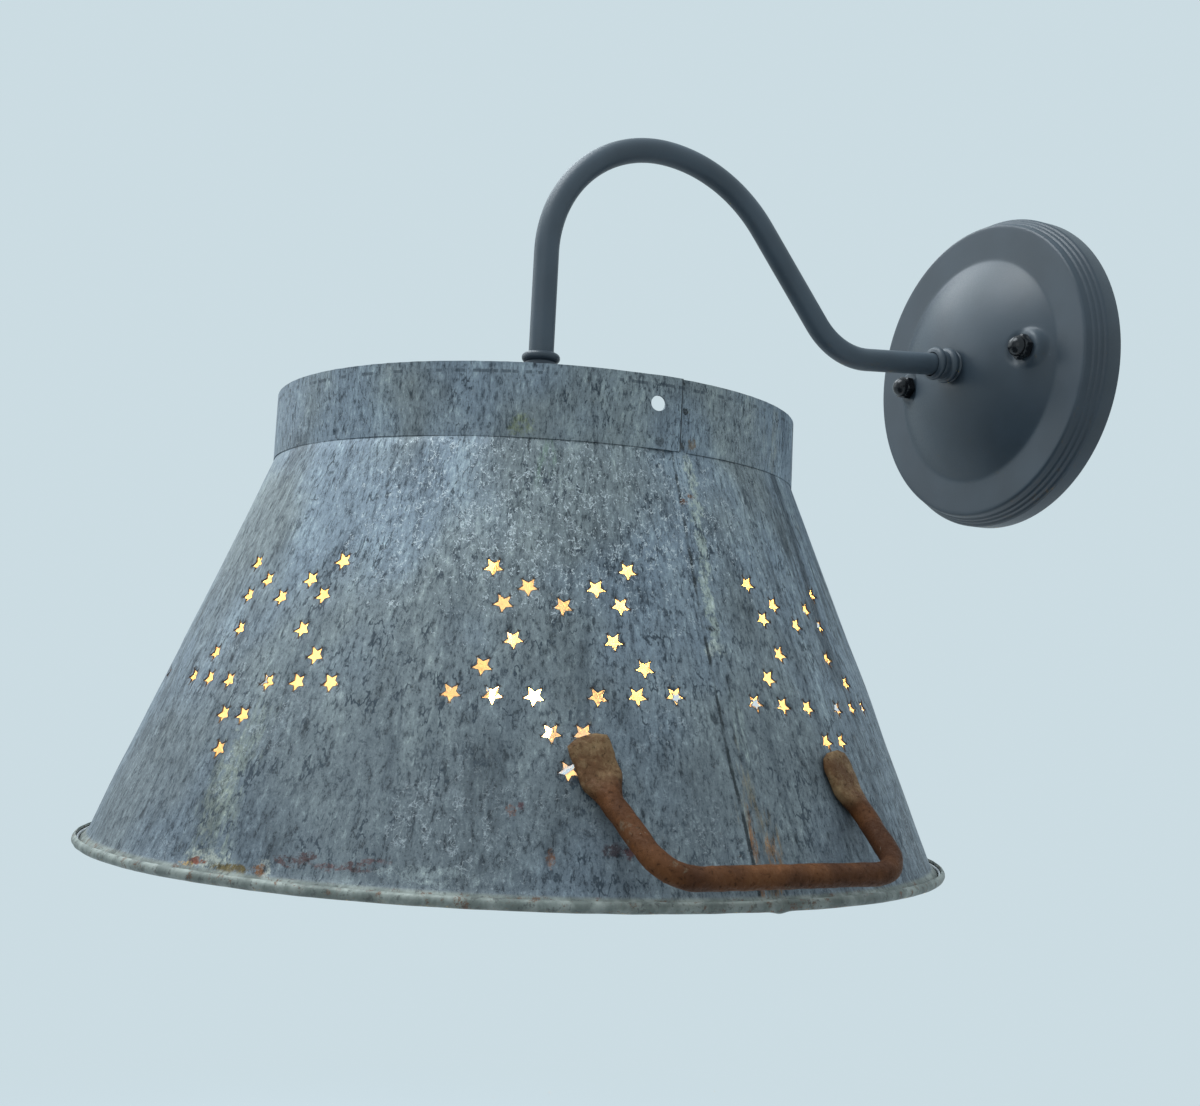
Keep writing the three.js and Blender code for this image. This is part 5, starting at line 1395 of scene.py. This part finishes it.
def make_holder():
    cavity = SHELL_RADIUS + SHELL_SHEET + GAP

    def ribs(radius, height, angle):
        on_skirt = radius > 19 and height < -4
        rib = 0.35 * (0.5 + 0.5 * math.cos(36 * angle)) * smooth(height, -4, -6)
        return radius - rib if on_skirt else radius

    return turned([
        (0, CAVITY_TOP), (cavity, CAVITY_TOP), (cavity, -SKIRT_LENGTH), (SKIRT, -SKIRT_LENGTH),
        (SKIRT, ON_BASE), (FLANGE_RADIUS, ON_BASE), (FLANGE_RADIUS, ON_BASE + FLANGE),
        (HOLDER_RADIUS, ON_BASE + FLANGE), (HOLDER_RADIUS, HOLDER_TOP), (0, HOLDER_TOP),
    ], 0.5, 144, ribs)


def make_screw_shell():
    top, wide, bore = CAVITY_TOP - GAP, SHELL_RADIUS + SHELL_SHEET, SHELL_RADIUS + 0.1
    levels = [SHELL_SHEET - SKIRT_LENGTH + 0.45 * i for i in range(50)]
    ridge = [0.12 * (0.5 - 0.5 * math.cos(2 * math.pi * z / THREAD_PITCH)) for z in levels]
    outside = [(wide - r, z) for r, z in zip(ridge, levels)]
    inside = [(bore - r / 2, z) for r, z in zip(ridge, levels)]
    end = [(wide, top), (6, top), (6, top - SHELL_SHEET), (bore, top - SHELL_SHEET)]
    return lathe(outside + end + inside[::-1], 72)


def grip(radius, height, angle):
    return radius - 0.9 * max(0, math.cos(10 * angle)) ** 6 if radius > 24 else radius


CAP = turned([
    (CAP_EYE, CAP_LOW), (HOLDER_RADIUS, CAP_LOW), (HOLDER_RADIUS, CAP_TOP), (HUB_RADIUS, CAP_TOP),
    (HUB_RADIUS, CAP_TOP + HUB), (CLOSE_BORE, CAP_TOP + HUB), (CLOSE_BORE, CAP_TOP), (CAP_EYE, CAP_TOP),
], 0.3, 72)
TONGUE = turned([
    (0, GAP - CONTACT_DEPTH), (CONTACT_RADIUS, GAP - CONTACT_DEPTH), (CONTACT_RADIUS, CAVITY_TOP - GAP),
    (0, CAVITY_TOP - GAP),
], 0.3, 32)
CLAMP_RING = turned([
    (SKIRT + GAP, -GAP), (CLAMP_RADIUS, -GAP), (CLAMP_RADIUS, -GAP - 2.4), (CLAMP_RADIUS - 2, -GAP - CLAMP),
    (SKIRT + GAP, -GAP - CLAMP),
], 0.4, 160, grip)
for name, node, shape, coat in (
    ("cup", "holder_cup", make_cup(), CHARCOAL),
    ("cap", "holder_cap", CAP, BRASS),
    ("holder", "lamp_holder", make_holder(), PHENOLIC),
    ("screw_shell", "holder_screw_shell", make_screw_shell(), BRASS),
    ("contact_tongue", "holder_contact", TONGUE, BRASS),
    ("clamp_ring", "holder_clamp_ring", CLAMP_RING, PHENOLIC),
):
    piece(name, [node], shape, coat, on_shade)

# Bulb: threaded base, glass, stem, and the glowing loop
BASE_LENGTH, BULB_RADIUS, BULB_LENGTH, BULB_NECK, BULB_SKIN = 23.5, 30.0, 109.5, 12.2, 0.8
FILAMENT_DROP, FILAMENT_TALL, FILAMENT_WIDE, FILAMENT_TURN = 82.5, 28.0, 20.0, 62.0
STEM_RADIUS, STEM_FLARE = 3.6, 6.0
COIL_RADIUS, COIL_PITCH, COIL_STEP, COIL_WIRE = 1.0, 0.95, 0.12, 0.24
STEM_TOP, STEM_LOW = -BULB_LENGTH * 0.2, 2 - FILAMENT_DROP + FILAMENT_TALL / 2
INSULATOR, LOW_EDGE = 6.5, -3.0


def on_lamp(p):
    return p + SHADE + Vector((0, 0, -CONTACT_DEPTH))


def make_bulb_base():
    low, high = -BASE_LENGTH - 2, -4.5
    levels = [low + (high - low) * i / 56 for i in range(57)]
    shoulder = [(12.2, -3.4), (10.4, -2.2), (8.6, -1.5), (INSULATOR + GAP, -1.5), (INSULATOR + GAP, -2.0)]
    inside = [(8.4, -2.0), (10.2, -2.8), (BULB_BASE - 0.75, -4.9), (BULB_BASE - 0.75, low)]

    def thread(radius, height, angle):
        if radius < BULB_BASE - 0.01:
            return radius
        wave = 0.5 - 0.5 * math.cos(2 * math.pi * height / THREAD_PITCH - angle)
        wave *= smooth(height, low + 2, low + 4) * smooth(height, high + 0.2, high - 1.5)
        return radius - 0.55 * wave

    return lathe([(BULB_BASE, z) for z in levels] + shoulder + inside, 96, thread)


def bulb_curve(skin):
    swell = (
        (BULB_NECK, 0.2), (BULB_NECK, 0.236), (0.48 * BULB_RADIUS, 0.3), (0.68 * BULB_RADIUS, 0.41),
        (0.9 * BULB_RADIUS, 0.54), (BULB_RADIUS, 0.7), (0.93 * BULB_RADIUS, 0.82), (0.7 * BULB_RADIUS, 0.93),
        (0.36 * BULB_RADIUS, 0.985), (0, 1),
    )
    line = curve_through([Vector((r, -BULB_LENGTH * share)) for r, share in swell], 7)
    return [(max(0, p.x - skin), p.y + skin * smooth(p.y, -62, -104)) for p in line[:-1]]


def make_stem():
    flare, thin = BULB_NECK - BULB_SKIN - GAP, STEM_RADIUS * 0.8
    return lathe(rounded([
        (0, STEM_TOP), (flare, STEM_TOP), (flare, STEM_TOP - 1.2), (STEM_RADIUS * 1.5, STEM_TOP - 4.5),
        (STEM_RADIUS, STEM_TOP - STEM_FLARE - 4), (thin, STEM_LOW + STEM_FLARE), (thin, STEM_LOW + 2),
        (STEM_RADIUS, STEM_LOW), (0, STEM_LOW),
    ], 1.2, 4), 48)


def filament_coil():
    """The loop's wire, wound in a close coil along its way."""
    root, high = 0.67 * STEM_RADIUS, STEM_LOW - 2 * GAP
    bends = (
        (-0.62, 0.88), (-1.08, 0.60), (-1.12, 0.12), (-0.78, -0.62), (-0.05, -0.99), (0.70, -0.88),
        (1.02, -0.46), (0.94, 0.02), (0.62, 0.44), (0.42, 0.76),
    )
    points = [Vector((x * FILAMENT_WIDE / 2, 0, z * FILAMENT_TALL / 2 - FILAMENT_DROP)) for x, z in bends]
    way = curve_through([Vector((-root, 0, high)), *points, Vector((root, 0, high))], 8)
    spin = about_z(FILAMENT_TURN)
    coil, run, side = [], 0.0, Vector((0, 1, 0))
    for a, b in zip(way, way[1:]):
        other = (b - a).normalized().cross(side)
        steps = max(1, round((b - a).length / COIL_STEP))
        for k in range(steps):
            turn = 2 * math.pi * (run + (b - a).length * k / steps) / COIL_PITCH
            offset = side * math.cos(turn) + other * math.sin(turn)
            coil.append(spin @ (a.lerp(b, k / steps) + offset * COIL_RADIUS))
        run += (b - a).length
    return coil


BEAD_SHAPE = turned([
    (4.2, LOW_EDGE), (INSULATOR, LOW_EDGE), (INSULATOR, -0.5), (INSULATOR - 1.1, -0.2), (4.2, -0.2),
], 0.15, 48)
BUTTON = turned([(0, LOW_EDGE), (3.6, LOW_EDGE), (3.6, -0.3), (2.9, -0.05), (0, 0)], 0.2, 40)
ENVELOPE = bulb_curve(0) + [(0, -BULB_LENGTH), (0, BULB_SKIN - BULB_LENGTH)] + bulb_curve(BULB_SKIN)[::-1]
for name, node, shape, coat, crease in (
    ("bulb_cap", "bulb_base", make_bulb_base(), BRASS, 32),
    ("bulb_glass_bead", "bulb_insulator", BEAD_SHAPE, PHENOLIC, 32),
    ("bulb_button", "bulb_contact", BUTTON, ZINC, 32),
    ("bulb_envelope", "bulb_glass", lathe(ENVELOPE, 96), GLASS, 60),
    ("bulb_glass_stem", "bulb_stem", make_stem(), GLASS, 32),
    ("filament_loop", "bulb_filament", tube(filament_coil(), COIL_WIRE, 6), GLOW, 32),
):
    piece(name, [node], shape, coat, on_lamp, crease, body="bulb")


# Stage, light and camera
BACKDROP = (0.60, 0.715, 0.765)
FLOOR_SIZE, FLOOR_LEVEL = 14, -0.78
AIM = Vector((0, -0.17, -0.09))
# Each area light's place, size, power and colour.
LIGHTS = {
    "overhead": ((-0.4, -1.0, 1.8), 1.2, 28, (0.90, 0.96, 1.0)),
    "window": ((-1.25, -1.15, 0.75), 1.2, 5, (0.90, 0.96, 1.0)),
    "side": ((-1.2, -0.25, 1.15), 0.7, 6, (0.88, 0.95, 1.0)),
    "fill": ((1.2, -1.8, 0.3), 1.4, 2.5, (0.96, 0.98, 1.0)),
}
BULB_POWER, BULB_COLOUR, BULB_GLOW = 3.4, (1.0, 0.50, 0.14), 0.012
LENS, SENSOR, NEAREST = 43.97, 36, 0.02
EYE, AHEAD = (0.4964, -0.4592, -0.1510), (-0.88301, 0.45980, 0.09425)
RIGHT, UP = (0.46538, 0.88377, 0.04862), (0.06094, -0.08680, 0.99436)


def stage():
    """A pale floor that takes the shadow and fades into the backdrop further off."""
    look = Look("pale_floor")
    pale = look.mix(look.blots(3, 2, 0.5, 0.3, 0.7), (0.60, 0.66, 0.69), (0.63, 0.69, 0.72))
    bounced = look.node("ShaderNodeLightPath").outputs["Is Diffuse Ray"]
    look.set(Base_Color=look.mix(bounced, pale, (0.16, 0.17, 0.18)), Roughness=0.8, IOR=1.3)
    far = look.step(look.size(look.vector("SUBTRACT", look.place, (0, -0.2, 0))), 0.9, 2.0)
    backdrop = look.node("ShaderNodeEmission", {"Color": BACKDROP, "Strength": 1.0}).outputs[0]
    look.blend(look.times(far, look.seen()), look.shader.outputs[0], backdrop, "Material Output")
    bpy.ops.mesh.primitive_plane_add(size=FLOOR_SIZE, location=(0, 0, FLOOR_LEVEL))
    floor = bpy.context.object
    floor.name = "floor"
    floor.data.materials.append(look.material)


def world():
    """A plain backdrop, and soft light that is stronger from above than from below."""
    studio = bpy.data.worlds.new("studio")
    bpy.context.scene.world = studio
    studio.use_nodes = True
    sky = Nodes(studio.node_tree)
    light = sky.tree.nodes["Background"]
    rise = sky.split(sky.node("ShaderNodeTexCoord").outputs["Generated"])["Z"]
    sky.feed(light.inputs["Color"], (0.80, 0.91, 1.0))
    sky.feed(light.inputs["Strength"], sky.step(rise, -0.35, 0.55, 0.07, 1.0))
    backdrop = sky.node("ShaderNodeBackground", {"Color": BACKDROP}).outputs[0]
    sky.blend(sky.seen(), light.outputs[0], backdrop, "World Output")


def put_in_scene(name, data, place):
    obj = bpy.data.objects.new(name, data)
    obj.location = place
    bpy.context.scene.collection.objects.link(obj)
    return obj


def lights():
    for name, (place, size, power, colour) in LIGHTS.items():
        data = bpy.data.lights.new(name, "AREA")
        data.size, data.energy, data.color = size, power, colour
        obj = put_in_scene(name, data, place)
        obj.rotation_euler = (AIM - Vector(place)).to_track_quat("-Z", "Y").to_euler()
    data = bpy.data.lights.new("bulb_light", "POINT")
    data.energy, data.color, data.shadow_soft_size = BULB_POWER, BULB_COLOUR, BULB_GLOW
    put_in_scene("bulb_light", data, on_lamp(Vector((0, 0, -FILAMENT_DROP))) * MM)


def camera():
    data = bpy.data.cameras.new("camera")
    data.lens, data.sensor_width, data.sensor_fit = LENS, SENSOR, "HORIZONTAL"
    data.clip_start = NEAREST
    obj = put_in_scene("camera", data, EYE)
    rows = [(right, up, -ahead, eye) for right, up, ahead, eye in zip(RIGHT, UP, AHEAD, EYE)]
    obj.matrix_world = Matrix(rows + [(0, 0, 0, 1)])
    bpy.context.scene.camera = obj


stage()
world()
lights()
camera()
bpy.context.scene.view_settings.view_transform = "Standard"
